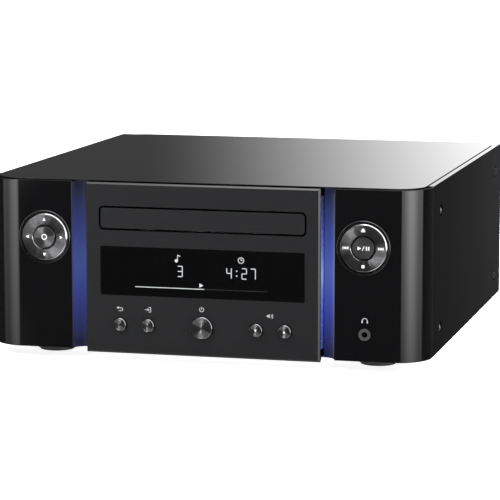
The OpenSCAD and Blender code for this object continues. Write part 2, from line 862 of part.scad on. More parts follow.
module traverse_frame() color([0.5, 0.5, 0.53]) at_front() difference() {
    union() {
        span([-traverse_half, deck_y[0], deck_z[0]], [traverse_half, deck_y[1], deck_z[1]]);
        both_sides() {
            rod_x(traverse_half - 2, ear_x[1] - 0.5, traverse_pivot[0], traverse_pivot[1], pivot_pin_r);
            for (y = block_y) span([17.5, y, deck_z[1] - 1], [22.2, y + block_t, rod_at[1] + 3]);
        }
        translate([screw_x, block_y[0], screw_axis_z]) {
            span([-3, 0, deck_z[1] - 1 - screw_axis_z], [2.6, block_t, 2.6]);
        }
    }
    span([-14, block_y[0] + 14, deck_z[0] - cut], [14, block_y[1] - 3, deck_z[1] + cut]);
    rod_z(0, disc_y, deck_z[0] - cut, deck_z[1] + cut, 7);
    both_sides() rod_y(rod_at[0], rod_at[1], block_y[0] - cut, block_y[1] + block_t + cut, rod_r + 0.02);
    rod_y(screw_x, screw_axis_z, block_y[0] - cut, block_y[0] + block_t + cut, journal_r + run);
}

module spindle_motor() color("silver") at_front() translate([0, disc_y, 0]) difference() {
    union() {
        rod_z(0, 0, deck_z[0] - 6.5, deck_z[0], 12);
        rod_z(0, 0, deck_z[0] - 1, deck_z[1] + 4, 5.5);
    }
    rod_z(0, 0, deck_z[0] - 5, deck_z[1] + 5, spindle_r + run);
}

module turntable() color([0.15, 0.15, 0.16]) at_front() translate([0, disc_y, 0]) {
    rotate_extrude() polygon([
        [0, deck_z[0] - 4], [spindle_r, deck_z[0] - 4], [spindle_r, deck_z[1] + 4.4], [6, deck_z[1] + 4.4],
        [6, seat_z - 2.4], [15, seat_z - 2.4], [15, seat_z], [7.4, seat_z], [6.6, seat_z + 2], [0, seat_z + 2]
    ]);
}

module laser_sled() color([0.3, 0.3, 0.33]) at_front() difference() {
    union() {
        span([-17, sled_y[0], deck_z[1] + 0.6], [17, sled_y[1], rod_at[1] + 3.4]);
        both_sides() rod_y(rod_at[0], rod_at[1], sled_y[0], sled_y[1], 2.8);
        both_sides() span([16, sled_y[0] + 4, rod_at[1] - 1], [rod_at[0], sled_y[1] - 4, rod_at[1] + 2.6]);
        translate([screw_x + feed_r + gap, 0, screw_axis_z]) {
            span([0, sled_y[0] + 5, -0.8], [-screw_x - feed_r - rod_at[0] - 1, sled_y[1] - 5, 1]);
        }
        rod_z(0, lens_y, rod_at[1], rod_at[1] + 5, 4);
    }
    both_sides() rod_y(rod_at[0], rod_at[1], sled_y[0] - cut, sled_y[1] + cut, rod_r + run);
}

module guide_rods() color("silver") at_front() both_sides() {
    rod_y(rod_at[0], rod_at[1], block_y[0], block_y[1] + block_t, rod_r);
}

module feed_motor() color("silver") at_front() difference() {
    rod_y(screw_x, screw_axis_z, feed_motor_y[0], feed_motor_y[1], feed_motor_r);
    rod_y(screw_x, screw_axis_z, feed_motor_y[0] - cut, feed_motor_y[0] + 5, journal_r + run);
}

module feed_screw() color("gold") at_front() {
    rod_y(screw_x, screw_axis_z, block_y[0], feed_motor_y[0] + 4, journal_r);
    rod_y(screw_x, screw_axis_z, block_y[0] + block_t + 0.2, feed_motor_y[0] - 0.2, feed_r);
}

// Electronics

board_top = board_z + board_t;

module board(x, y) {
    span([x[0], y[0], board_z], [x[1], y[1], board_top]);
}

module capacitor(x, y, r, h) {
    rod_z(x, y, board_z, board_top + h, r);
}

// A block on a board, with its size as [width, depth, height]
module chip(x, y, size) {
    span(
        [x - size[0] / 2, y - size[1] / 2, board_z],
        [x + size[0] / 2, y + size[1] / 2, board_top + size[2]]
    );
}

logic_chip = [11, 11, 1.4];
logic_pitch = 20;
small_cap_r = 3;
small_cap_h = 9;
small_cap_pitch = 14;
small_cap_place = [4, -15];
header = [60, 6, 8];
header_place = 16;

module main_board() color([0.05, 0.3, 0.15]) at_front() {
    board([-main_half, main_half], main_y);
    mid_y = (main_y[0] + main_y[1]) / 2;
    for (i = [-2 : 2]) chip(i * logic_pitch, mid_y, logic_chip);
    for (i = [-3 : 3]) {
        x = i * small_cap_pitch + small_cap_place[0];
        capacitor(x, mid_y + small_cap_place[1], small_cap_r, small_cap_h);
    }
    chip(0, mid_y + header_place, header);
}

amp_cap_r = 5;
amp_cap_h = 22;
amp_cap_pitch = 12;
amp_cap_place = [12, 22];
amp_chip = [16, 16, 12];
amp_chip_pitch = 22;
amp_chip_place = [18, 16];

module amp_board() color([0.05, 0.3, 0.15]) at_front() {
    board(amp_x, amp_y);
    for (i = [0 : 3]) {
        x = amp_x[0] + amp_cap_place[0] + i * amp_cap_pitch;
        capacitor(x, amp_y[0] + amp_cap_place[1], amp_cap_r, amp_cap_h);
    }
    for (i = [0 : 1]) {
        chip(amp_x[0] + amp_chip_place[0] + i * amp_chip_pitch, amp_y[1] - amp_chip_place[1], amp_chip);
    }
}

sink_inset = [4, 40];
sink_y = [amp_y[0] + sink_inset[1], amp_y[1] - sink_inset[1]];
sink_top = 44;
sink_base = 6;
fin_t = 2;
fin_count = 8;

module heat_sink() color([0.25, 0.25, 0.27]) at_front() {
    x0 = amp_x[0] + sink_inset[0];
    x1 = amp_x[1] - sink_inset[0];
    step = (x1 - x0 - fin_t) / (fin_count - 1);
    span([x0, sink_y[0], board_top], [x1, sink_y[1], board_top + sink_base]);
    for (i = [0 : fin_count - 1]) {
        translate([x0 + i * step, 0, board_top]) {
            span([0, sink_y[0], sink_base / 2], [fin_t, sink_y[1], sink_top]);
        }
    }
}

transformer = [46, 40, 36];
transformer_place = 40;
main_cap_r = 11;
main_cap_h = 34;
main_cap_pitch = 28;
main_cap_place = 92;
choke = [36, 22, 24];
choke_place = 66;
filter = [24, 14, 18];
filter_place = 26;

module power_supply() color([0.3, 0.26, 0.1]) at_front() {
    mid_x = (supply_x[0] + supply_x[1]) / 2;
    board(supply_x, supply_y);
    chip(mid_x, supply_y[0] + transformer_place, transformer);
    for (i = [-0.5, 0.5]) {
        capacitor(mid_x + i * main_cap_pitch, supply_y[0] + main_cap_place, main_cap_r, main_cap_h);
    }
    chip(mid_x, supply_y[1] - choke_place, choke);
    chip(mid_x, supply_y[1] - filter_place, filter);
}

panel_in = rear_y - sheet_t;
jack_reach = 8;
jack_collar_r = 5.4;
jack_collar_t = 1.2;
jack_bore_r = 1.7;

module rear_jacks() color([0.15, 0.15, 0.15]) at_front() {
    edge = 10;
    depth = 16;
    difference() {
        union() {
            span([jack_x[2] - edge, panel_in - depth, jack_z[0] - edge],
                 [jack_x[0] + edge, panel_in, jack_z[1] + edge]);
            for (x = jack_x, z = jack_z) {
                rod_y(x, z, panel_in - 1, rear_y + jack_collar_t, jack_collar_r);
                rod_y(x, z, panel_in - 1, rear_y + jack_reach, jack_r);
            }
        }
        for (x = jack_x, z = jack_z) rod_y(x, z, rear_y - 4, rear_y + jack_reach + cut, jack_bore_r);
    }
    translate([net_x, 0, net_z]) difference() {
        span([-10, panel_in - depth, -8], [10, panel_in, 9]);
        sheet_xz(panel_in - 14, panel_in + cut) square([net_w - 1, net_h - 1], center = true);
    }
}

inlet_flange = 2;
inlet_depth = 24;

module ac_inlet() color([0.08, 0.08, 0.08]) at_front() translate([inlet_x, 0, inlet_z]) {
    difference() {
        union() {
            sheet_xz(rear_y - inlet_depth, rear_y + inlet_flange) round_rect(inlet_w, inlet_h, 3);
            sheet_xz(rear_y, rear_y + inlet_flange) round_rect(inlet_w + 7, inlet_h + 7, 3);
        }
        sheet_xz(rear_y - 14, rear_y + inlet_flange + cut) square([inlet_w - 3, inlet_h - 4], center = true);
    }
    for (p = [[-7, -2], [0, 3], [7, -2]]) {
        sheet_xz(rear_y - 15, rear_y - 1) translate(p) square([2, 4], center = true);
    }
}

// Terminal posts: a block with hollow studs, and a cap that turns on each stud

collar_r = 5.5;
stud_r = 3;
cap_y = [rear_y + 2.6, rear_y + post_reach];
stud_end = cap_y[1] - 6.5;
cap_ribs = 12;

function post_x(i) = terminal_x + (i - 2.5) * post_pitch;

module terminal_block() color([0.1, 0.1, 0.1]) at_front() {
    translate([terminal_x, 0, terminal_z]) sheet_xz(panel_in - 9, panel_in) {
        square([terminal_w + 6, terminal_h + 6], center = true);
    }
    for (i = [1 : 4]) {
        rod_y(post_x(i), terminal_z, panel_in - 1, cap_y[0] - gap, collar_r);
        rod_y(post_x(i), terminal_z, panel_in - 1, stud_end, stud_r);
    }
}

module post_cap(i) {
    at_front() translate([post_x(i), 0, terminal_z]) difference() {
        rod_y(0, 0, cap_y[0], cap_y[1], cap_r);
        rod_y(0, 0, cap_y[0] - cut, stud_end + gap, stud_r + run);
        rod_y(0, 0, cap_y[0], cap_y[1] + cut, plug_bore_r);
        for (a = [0 : 360 / cap_ribs : 359]) rotate([0, a, 0]) {
            rod_y(cap_r + 0.5, 0, cap_y[0] + 1, cap_y[1] + cut, 1);
        }
    }
}

module post_cap_1() color("firebrick") post_cap(1);

module post_cap_2() color([0.12, 0.12, 0.12]) post_cap(2);

module post_cap_3() color("firebrick") post_cap(3);

module post_cap_4() color([0.12, 0.12, 0.12]) post_cap(4);

chassis_base();
top_cover();
top_plate();
rear_panel();
feet();
foot_pads();
case_screws();
front_frame();
center_panel();
left_wing();
right_wing();
left_light_guide();
right_light_guide();
display_window();
display_module();
control_board();
tact_switches();
back_button();
input_button();
power_button();
volume_down_button();
volume_up_button();
cursor_bezel();
cursor_gimbal();
cursor_ring();
enter_button();
transport_bezel();
transport_gimbal();
transport_ring();
play_button();
phones_jack();
tray_door();
disc_tray();
loader_chassis();
dampers();
loading_motor();
motor_pulley();
loading_belt();
tray_gear();
clamp_bridge();
disc_clamp();
traverse_frame();
spindle_motor();
turntable();
laser_sled();
guide_rods();
feed_motor();
feed_screw();
main_board();
amp_board();
heat_sink();
power_supply();
rear_jacks();
ac_inlet();
terminal_block();
post_cap_1();
post_cap_2();
post_cap_3();
post_cap_4();
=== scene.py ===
import functools
import json
import math

import bmesh
import bpy
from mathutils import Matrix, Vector

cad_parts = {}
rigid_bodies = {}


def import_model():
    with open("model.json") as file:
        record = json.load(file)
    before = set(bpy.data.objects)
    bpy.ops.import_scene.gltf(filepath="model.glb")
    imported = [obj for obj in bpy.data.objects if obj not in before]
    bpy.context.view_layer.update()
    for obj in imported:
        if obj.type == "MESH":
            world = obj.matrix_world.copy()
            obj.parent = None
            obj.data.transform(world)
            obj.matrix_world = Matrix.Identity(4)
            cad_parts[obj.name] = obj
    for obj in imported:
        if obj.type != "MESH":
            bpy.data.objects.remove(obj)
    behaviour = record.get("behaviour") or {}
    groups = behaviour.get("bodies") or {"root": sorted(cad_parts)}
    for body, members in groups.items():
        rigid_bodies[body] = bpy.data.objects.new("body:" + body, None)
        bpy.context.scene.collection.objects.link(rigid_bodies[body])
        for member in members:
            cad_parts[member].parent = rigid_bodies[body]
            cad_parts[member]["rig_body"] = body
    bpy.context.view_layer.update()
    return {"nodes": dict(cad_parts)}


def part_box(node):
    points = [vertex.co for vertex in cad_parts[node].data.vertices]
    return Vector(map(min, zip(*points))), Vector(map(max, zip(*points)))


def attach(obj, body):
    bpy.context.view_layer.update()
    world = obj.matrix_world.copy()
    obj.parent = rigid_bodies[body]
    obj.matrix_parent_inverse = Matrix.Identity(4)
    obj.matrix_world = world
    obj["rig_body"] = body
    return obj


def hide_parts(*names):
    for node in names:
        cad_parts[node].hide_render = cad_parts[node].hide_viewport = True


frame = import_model()
nodes = frame["nodes"]
scene = bpy.context.scene
scene.view_settings.view_transform = "Standard"


def box_mm(node):
    """The low corner, high corner and middle of a node in millimetres."""
    low, high = (1000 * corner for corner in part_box(node))
    return low, high, (low + high) / 2


# Sizes of the front in millimetres; y is measured back from the front plane.
FRONT = box_mm("center_panel")[0].y
HALF_PANEL = box_mm("center_panel")[1].x
COVE_R = 8.9
SMALL_BUTTONS = ("back_button", "input_button", "volume_down_button", "volume_up_button")
BUTTON_X = {name: box_mm(name)[2].x for name in SMALL_BUTTONS}
BUTTON_Z = box_mm("power_button")[2].z
BUTTON_FACE = box_mm("power_button")[0].y - FRONT
RING_X = box_mm("transport_ring")[2].x
RING_Z = box_mm("transport_ring")[2].z
RING_FACE = box_mm("transport_ring")[0].y - FRONT
RIM_R = 16.05
# The dished face of a ring: its depth, and the radii between which it falls
RING_DISH = 0.35
RING_SPAN = (7.95, 14.1)
WINDOW_FACE = box_mm("display_window")[0].y - FRONT
WINDOW_Z = box_mm("display_window")[2].z
PHONES = (box_mm("phones_jack")[2].x, box_mm("phones_jack")[2].z)


def at(x, y, z):
    """A point of the front in metres, in the frame of the case."""
    return Vector((x, y + FRONT, z)) / 1000


# Finishes

# Shares of the noise that stand for its lowest and highest values: for roughness, and for shades
ROUGH_SPAN = (0.3, 0.7)
SHADE_SPAN = (0.35, 0.65)


def shader_of(paint):
    """The main shader of a finish."""
    return paint.node_tree.nodes["Principled BSDF"]


def finish(name, color, roughness, metallic=0.0, **sockets):
    """A new finish, its plain values set on the shader's own sockets."""
    paint = bpy.data.materials.new(name)
    paint.use_nodes = True
    paint.diffuse_color = (*color, 1)
    shader = shader_of(paint)
    shader.inputs["Base Color"].default_value = (*color, 1)
    shader.inputs["Roughness"].default_value = roughness
    shader.inputs["Metallic"].default_value = metallic
    for socket, value in sockets.items():
        shader.inputs[socket.replace("_", " ")].default_value = value
    return paint


def add(paint, kind, **settings):
    """A node of that kind in the finish's tree."""
    node = paint.node_tree.nodes.new("ShaderNode" + kind)
    for key, value in settings.items():
        setattr(node, key, value)
    return node


def join(paint, out, into):
    """A link from one socket to another in the finish's tree."""
    paint.node_tree.links.new(out, into)


def pattern(paint, scale, detail=4.0, stretch=(1, 1, 1)):
    """Noise on Object coordinates, stretched along the axes; the scale is in cells per metre."""
    place = add(paint, "TexCoord")
    turn = add(paint, "Mapping")
    turn.inputs["Scale"].default_value = stretch
    noise = add(paint, "TexNoise")
    noise.inputs["Scale"].default_value = scale
    noise.inputs["Detail"].default_value = detail
    join(paint, place.outputs["Object"], turn.inputs["Vector"])
    join(paint, turn.outputs["Vector"], noise.inputs["Vector"])
    return noise.outputs["Fac"]


def span(paint, value, low, high, low_out, high_out):
    """A value mapped from one span to another."""
    step = add(paint, "MapRange")
    for socket, number in zip(("From Min", "From Max", "To Min", "To Max"), (low, high, low_out, high_out)):
        step.inputs[socket].default_value = number
    join(paint, value, step.inputs["Value"])
    return step.outputs["Result"]


def grain(paint, scale, depth, stretch=(1, 1, 1)):
    """Fine relief; the depth is in millimetres."""
    bump = add(paint, "Bump")
    bump.inputs["Distance"].default_value = depth / 1000
    join(paint, pattern(paint, scale, 3.0, stretch), bump.inputs["Height"])
    join(paint, bump.outputs["Normal"], shader_of(paint).inputs["Normal"])


def uneven(paint, scale, spread, stretch=(1, 1, 1)):
    """Handling and polishing: the roughness wanders about its plain value."""
    roughness = shader_of(paint).inputs["Roughness"]
    plain = roughness.default_value
    noise = pattern(paint, scale, 5.0, stretch)
    join(paint, span(paint, noise, *ROUGH_SPAN, plain * (1 - spread), plain * (1 + spread)), roughness)


def mottle(paint, scale, darker, lighter, stretch=(1, 1, 1)):
    """The colour wanders between two shades."""
    band = ramp(paint, pattern(paint, scale, 5.0, stretch), ((SHADE_SPAN[0], darker), (SHADE_SPAN[1], lighter)))
    join(paint, band, shader_of(paint).inputs["Base Color"])


def ramp(paint, value, stops):
    """A colour ramp with (place, colour) stops."""
    node = add(paint, "ValToRGB")
    band = node.color_ramp
    band.interpolation = "B_SPLINE"
    while len(band.elements) < len(stops):
        band.elements.new(0.5)
    for element, (place, color) in zip(band.elements, stops):
        element.position = place
        element.color = (*color, 1)
    join(paint, value, node.inputs["Fac"])
    return node.outputs["Color"]


def place_axes(paint):
    """The Object coordinates of a finish as three values, in metres."""
    place = add(paint, "TexCoord")
    split = add(paint, "SeparateXYZ")
    join(paint, place.outputs["Object"], split.inputs["Vector"])
    return split.outputs


def height_share(paint, low, high):
    """0 at the lower height of the case and 1 at the upper one, in millimetres."""
    return span(paint, place_axes(paint)["Z"], low / 1000, high / 1000, 0.0, 1.0)


def satin(name, color, darker, lighter):
    """The fine satin of the front, its shades drawn out along the width."""
    paint = finish(name, color, 0.22, IOR=1.5, Specular_IOR_Level=0.1)
    mottle(paint, 160, darker, lighter, (0.25, 1, 1))
    uneven(paint, 900, 0.025, (0.4, 1, 1))
    grain(paint, 9000, 0.0012)
    return paint


satin_panel = satin("satin_panel", (0.0149, 0.0151, 0.0159), (0.0143, 0.0145, 0.0153), (0.0155, 0.0157, 0.0165))
satin_door = satin("satin_door", (0.0158, 0.0160, 0.0168), (0.0153, 0.0155, 0.0163), (0.0163, 0.0165, 0.0173))

cut_edge = finish("cut_edge", (0.007, 0.007, 0.0074), 0.2, IOR=1.65)
uneven(cut_edge, 900, 0.1, (0.4, 1, 1))

piano_black = finish("piano_black", (0.003, 0.003, 0.0034), 0.05, IOR=1.5)
uneven(piano_black, 40, 0.25)
grain(piano_black, 60, 0.004)

polished_sheet = finish("polished_sheet", (0.004, 0.004, 0.0045), 0.035, IOR=1.5)
uneven(polished_sheet, 30, 0.25)
grain(polished_sheet, 25, 0.003)

powder_black = finish("powder_black", (0.0043, 0.0043, 0.0045), 0.5, IOR=1.5, Specular_IOR_Level=0.0)
mottle(powder_black, 220, (0.0039, 0.0039, 0.0041), (0.0047, 0.0047, 0.0049))
uneven(powder_black, 700, 0.12)
grain(powder_black, 5200, 0.004)

rear_black = finish("rear_black", (0.016, 0.016, 0.0165), 0.42, IOR=1.5)
mottle(rear_black, 260, (0.0148, 0.0148, 0.0153), (0.0172, 0.0172, 0.0177))
uneven(rear_black, 900, 0.12)
grain(rear_black, 4200, 0.006)

screw_black = finish("screw_black", (0.13, 0.13, 0.133), 0.36, 0.8)
uneven(screw_black, 2500, 0.25)

smoked_window = finish("smoked_window", (0.0015, 0.0015, 0.0017), 0.04, IOR=1.5)
uneven(smoked_window, 60, 0.2)
grain(smoked_window, 80, 0.002)

# Spun faces: the row buttons are turned another way than the rings, so that their wedges stand upright.
button_spun = finish("button_spun", (0.116, 0.116, 0.119), 0.38, 1.0, Anisotropic=1.0,
                     Anisotropic_Rotation=0.375)
play_spun = finish("play_spun", (0.066, 0.066, 0.068), 0.5, 1.0, Anisotropic=0.4, Anisotropic_Rotation=0.25)
ring_spun = finish("ring_spun", (0.127, 0.127, 0.13), 0.4, 1.0, Anisotropic=1.0, Anisotropic_Rotation=0.27)
bezel_metal = finish("bezel_metal", (0.09, 0.09, 0.092), 0.28, 1.0, Anisotropic=0.5)
for turned, depth in ((button_spun, 0.0012), (play_spun, 0.0012), (ring_spun, 0.0012), (bezel_metal, 0.001)):
    along = add(turned, "Tangent", direction_type="RADIAL", axis="Y")
    join(turned, along.outputs["Tangent"], shader_of(turned).inputs["Tangent"])
    uneven(turned, 4000, 0.2)
    grain(turned, 7000, depth)

bright_edge = finish("bright_edge", (0.55, 0.55, 0.56), 0.16, 1.0)
uneven(bright_edge, 3000, 0.2)
soft_edge = finish("soft_edge", (0.24, 0.24, 0.245), 0.2, 1.0)
uneven(soft_edge, 3000, 0.2)
jack_nickel = finish("jack_nickel", (0.046, 0.046, 0.048), 0.3)
uneven(jack_nickel, 3000, 0.2)

print_grey = finish("print_grey", (0.42, 0.42, 0.43), 0.5)
uneven(print_grey, 6000, 0.2)
print_white = finish("print_white", (0.84, 0.84, 0.84), 0.45)
uneven(print_white, 6000, 0.2)

zinc_plate = finish("zinc_plate", (0.50, 0.51, 0.52), 0.34, 1.0)
mottle(zinc_plate, 180, (0.44, 0.45, 0.46), (0.55, 0.56, 0.56))
uneven(zinc_plate, 300, 0.3)
grain(zinc_plate, 1500, 0.002, (0.05, 1, 1))

moulded_black = finish("moulded_black", (0.022, 0.022, 0.024), 0.46)
mottle(moulded_black, 300, (0.020, 0.020, 0.022), (0.025, 0.025, 0.027))
uneven(moulded_black, 1200, 0.15)
grain(moulded_black, 3800, 0.006)

moulded_white = finish("moulded_white", (0.72, 0.70, 0.63), 0.42)
mottle(moulded_white, 200, (0.69, 0.67, 0.60), (0.75, 0.73, 0.66))
grain(moulded_white, 3000, 0.004)

green_board = finish("green_board", (0.02, 0.13, 0.05), 0.38)
mottle(green_board, 420, (0.014, 0.095, 0.036), (0.026, 0.165, 0.064), (1, 0.15, 1))
uneven(green_board, 800, 0.25)
grain(green_board, 900, 0.02, (1, 0.2, 1))

black_sink = finish("black_sink", (0.045, 0.045, 0.048), 0.45, 0.6)
uneven(black_sink, 900, 0.2)
grain(black_sink, 2500, 0.004, (1, 0.05, 1))

foot_rubber = finish("foot_rubber", (0.012, 0.012, 0.012), 0.85)
mottle(foot_rubber, 500, (0.010, 0.010, 0.010), (0.016, 0.016, 0.016))
grain(foot_rubber, 2600, 0.012)

turned_brass = finish("turned_brass", (0.62, 0.45, 0.17), 0.26, 1.0)
uneven(turned_brass, 1500, 0.3)
grain(turned_brass, 2600, 0.003, (1, 0.1, 1))

red_cap = finish("red_cap", (0.40, 0.012, 0.012), 0.3)
mottle(red_cap, 350, (0.36, 0.010, 0.010), (0.44, 0.015, 0.015))
grain(red_cap, 2200, 0.003)

black_cap = finish("black_cap", (0.014, 0.014, 0.015), 0.3)
mottle(black_cap, 350, (0.012, 0.012, 0.013), (0.017, 0.017, 0.018))
grain(black_cap, 2200, 0.003)

# The blue light, strongest at mid height and gone at both ends of the guide: the guide glows, and on the cove
# it is painted light, a glow that stands for the guide's light falling on the cove.
COVE_PAINTED_LIGHT = (
    (0.00, (0.000, 0.002, 0.020)),
    (0.12, (0.003, 0.007, 0.070)),
    (0.32, (0.020, 0.034, 0.270)),
    (0.50, (0.035, 0.068, 0.310)),
    (0.66, (0.025, 0.045, 0.260)),
    (0.88, (0.006, 0.011, 0.060)),
    (1.00, (0.000, 0.002, 0.016)),
)
GUIDE_GLOW = (
    (0.00, (0.020, 0.034, 0.160)),
    (0.20, (0.034, 0.055, 0.320)),
    (0.38, (0.090, 0.140, 0.380)),
    (0.49, (0.280, 0.360, 0.520)),
    (0.60, (0.100, 0.140, 0.380)),
    (0.80, (0.022, 0.036, 0.240)),
    (0.94, (0.008, 0.011, 0.060)),
    (1.00, (0.002, 0.003, 0.010)),
)
# The heights between which each of them glows, in millimetres
COVE_HEIGHTS = (6, 111)
GUIDE_HEIGHTS = (12, 106)
# Painted light and shade on the coves: the left cove is painted dimmer, as it looks from the front, the glow is
# painted stronger deeper in, towards the guide, and the right one has a painted highlight along its pale front
# edge.
LEFT_PAINTED_SHADE = 0.6
DEEP_PAINTED_GAIN = 1.25
EDGE_PAINTED_HIGHLIGHT = (0.24, 0.27, 0.15)
# How far behind the front the painted highlight on the right cove's edge is still full, and where it is gone,
# in metres
EDGE_FULL, EDGE_GONE = 0.0012, 0.0062
# Left passes into right over this much to each side of the middle, in metres
SIDE_BLEND = 0.01


def scaled(paint, color, factor):
    """A colour multiplied by a value."""
    step = add(paint, "VectorMath", operation="SCALE")
    join(paint, color, step.inputs["Vector"])
    join(paint, factor, step.inputs["Scale"])
    return step.outputs["Vector"]


def times(paint, a, b):
    """The product of two values."""
    step = add(paint, "Math", operation="MULTIPLY")
    join(paint, a, step.inputs[0])
    join(paint, b, step.inputs[1])
    return step.outputs[0]


def painted_cove_glow(paint):
    """The painted glow by height, side and depth, with the painted highlight along the right cove's front edge
    added.
    """
    axes = place_axes(paint)
    height = height_share(paint, *COVE_HEIGHTS)
    front = FRONT / 1000
    # Painted shade dims the left cove, and painted light makes the glow stronger deeper in, towards the guide.
    side = span(paint, axes["X"], -SIDE_BLEND, SIDE_BLEND, LEFT_PAINTED_SHADE, 1.0)
    depth = span(paint, axes["Y"], front, front + COVE_R / 1000, 1.0, DEEP_PAINTED_GAIN)
    glow = scaled(paint, ramp(paint, height, COVE_PAINTED_LIGHT), times(paint, side, depth))
    # A painted highlight along the right cove's front edge, strongest at mid height.
    bell = ramp(paint, height, ((0.02, (0, 0, 0)), (0.5, EDGE_PAINTED_HIGHLIGHT), (0.98, (0, 0, 0))))
    near = span(paint, axes["Y"], front + EDGE_GONE, front + EDGE_FULL, 0.0, 1.0)
    right = span(paint, axes["X"], -SIDE_BLEND, SIDE_BLEND, 0.0, 1.0)
    edge = scaled(paint, bell, times(paint, near, right))
    both = add(paint, "VectorMath", operation="ADD")
    join(paint, glow, both.inputs[0])
    join(paint, edge, both.inputs[1])
    return both.outputs["Vector"]


# Painted light: the cove is no lamp, and its blue glow stands for the guide's light falling on it.
painted_light_cove = finish("painted_light_cove", (0.03, 0.03, 0.032), 0.2, Emission_Strength=1.0)
join(painted_light_cove, painted_cove_glow(painted_light_cove), shader_of(painted_light_cove).inputs["Emission Color"])
uneven(painted_light_cove, 300, 0.2)

lit_guide = finish("lit_guide", (0.10, 0.13, 0.30), 0.25, Emission_Strength=1.0)
guide_light = ramp(lit_guide, height_share(lit_guide, *GUIDE_HEIGHTS), GUIDE_GLOW)
join(lit_guide, guide_light, shader_of(lit_guide).inputs["Emission Color"])
uneven(lit_guide, 500, 0.2)

DIGIT_GLOW = (0.92, 0.96, 1.0, 1)
lit_digits = finish("lit_digits", (0.20, 0.205, 0.21), 0.5, Emission_Color=DIGIT_GLOW, Emission_Strength=0.48)
dim_digits = finish("dim_digits", (0.008, 0.008, 0.0085), 0.5, Emission_Color=DIGIT_GLOW,
                    Emission_Strength=0.003)

FINISH_NODES = (
    (zinc_plate, ("chassis_base", "tact_switches", "loading_motor", "clamp_bridge", "traverse_frame",
                  "spindle_motor", "guide_rods", "feed_motor")),
    (moulded_black, ("feet", "front_frame", "disc_tray", "loader_chassis", "turntable", "laser_sled",
                     "phones_jack", "rear_jacks", "ac_inlet", "terminal_block")),
    (moulded_white, ("cursor_gimbal", "transport_gimbal", "tray_gear", "disc_clamp")),
    (foot_rubber, ("foot_pads", "dampers", "loading_belt")),
    (green_board, ("display_module", "control_board", "main_board", "amp_board", "power_supply")),
    (black_sink, ("heat_sink",)),
    (turned_brass, ("motor_pulley", "feed_screw")),
    (powder_black, ("top_cover",)),
    (rear_black, ("rear_panel",)),
    (polished_sheet, ("top_plate",)),
    (satin_panel, ("center_panel",)),
    (satin_door, ("tray_door",)),
    (piano_black, ("left_wing", "right_wing")),
    (lit_guide, ("left_light_guide", "right_light_guide")),
    (smoked_window, ("display_window",)),
    (button_spun, (*SMALL_BUTTONS, "power_button")),
    (play_spun, ("play_button",)),
    (ring_spun, ("enter_button", "cursor_ring", "transport_ring")),
    (bezel_metal, ("cursor_bezel", "transport_bezel")),
    (red_cap, ("post_cap_1", "post_cap_3")),
    (black_cap, ("post_cap_2", "post_cap_4")),
)
NODE_FINISH = {node: paint for paint, group in FINISH_NODES for node in group}


# Pieces

# Points closer than this are one, in metres; faces that differ by less than this are one, in degrees
WELD_GAP = 2e-6
FLAT_ANGLE = 0.3
# An edge is rounded when it is sharper than the smooth ones by this much, in degrees
ROUND_MARGIN = 3
# How near a face lies to the round of a cove, in millimetres
COVE_SLACK = 0.35
# How far a face's normal leans along an axis, for faces that look up, forward, back and aside
LOOKS_UP, LOOKS_FORWARD, LOOKS_BACK = 0.99, 0.9, 0.5
LOOKS_ASIDE = (0.5, 0.85)
# The wings' finish ends this far before the cover, in metres
WING_SEAM = 0.001


def piece_from(name, form):
    """A new piece in the scene from a bmesh."""
    mesh = bpy.data.meshes.new(name)
    form.to_mesh(mesh)
    form.free()
    piece = bpy.data.objects.new(name, mesh)
    scene.collection.objects.link(piece)
    return piece


def baked(piece):
    """Turns what the modifiers make into the piece's own mesh."""
    view = bpy.context.evaluated_depsgraph_get()
    mesh = bpy.data.meshes.new_from_object(piece.evaluated_get(view))
    plain = piece.data
    piece.modifiers.clear()
    piece.data = mesh
    bpy.data.meshes.remove(plain)


def smooth(piece, sharp):
    """Shades a piece smooth, apart from edges sharper than that angle in degrees."""
    for face in piece.data.polygons:
        face.use_smooth = True
    piece.data.set_sharp_from_angle(angle=math.radians(sharp))


def round_edges(piece, width, steps, angle, paint):
    """Breaks every sharp edge with a small round in the finish of that index; the width is in millimetres."""
    bevel = piece.modifiers.new("edges", "BEVEL")
    bevel.width = width / 1000
    bevel.segments = steps
    bevel.limit_method = "ANGLE"
    bevel.angle_limit = math.radians(angle)
    bevel.use_clamp_overlap = False
    bevel.material = paint
    bevel.harden_normals = True


def welded(node):
    """A welded copy of a node's mesh, each flat area as few faces."""
    form = bmesh.new()
    form.from_mesh(nodes[node].data)
    bmesh.ops.remove_doubles(form, verts=form.verts, dist=WELD_GAP)
    bmesh.ops.dissolve_limit(form, angle_limit=math.radians(FLAT_ANGLE), verts=form.verts, edges=form.edges)
    return form


def dress(node, edge, sharp=30, steps=2, others=(), edge_paint=0):
    """A finished skin for a node, its edges rounded by so many millimetres.

    Other finishes come as (finish, test) pairs; on a face that passes several tests the last one counts.
    """
    piece = piece_from(node + "_skin", welded(node))
    piece.data.materials.append(NODE_FINISH[node])
    for paint, test in others:
        piece.data.materials.append(paint)
        for face in piece.data.polygons:
            if test(face):
                face.material_index = len(piece.data.materials) - 1
    smooth(piece, sharp)
    round_edges(piece, edge, steps, sharp + ROUND_MARGIN, edge_paint)
    baked(piece)
    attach(piece, nodes[node]["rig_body"])
    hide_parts(node)
    return piece


def in_cove(face):
    """Whether a wing's face lies on the hollow round beside the panel."""
    x, y = abs(face.center.x) * 1000 - HALF_PANEL, face.center.y * 1000 - FRONT
    return x > 0 and y > 0 and abs(math.hypot(x, y) - COVE_R) < COVE_SLACK


def inside_rim(face):
    """Whether a bezel's face lies inside its bright outer rim."""
    x, z = abs(face.center.x) * 1000 - RING_X, face.center.z * 1000 - RING_Z
    return math.hypot(x, z) < RIM_R


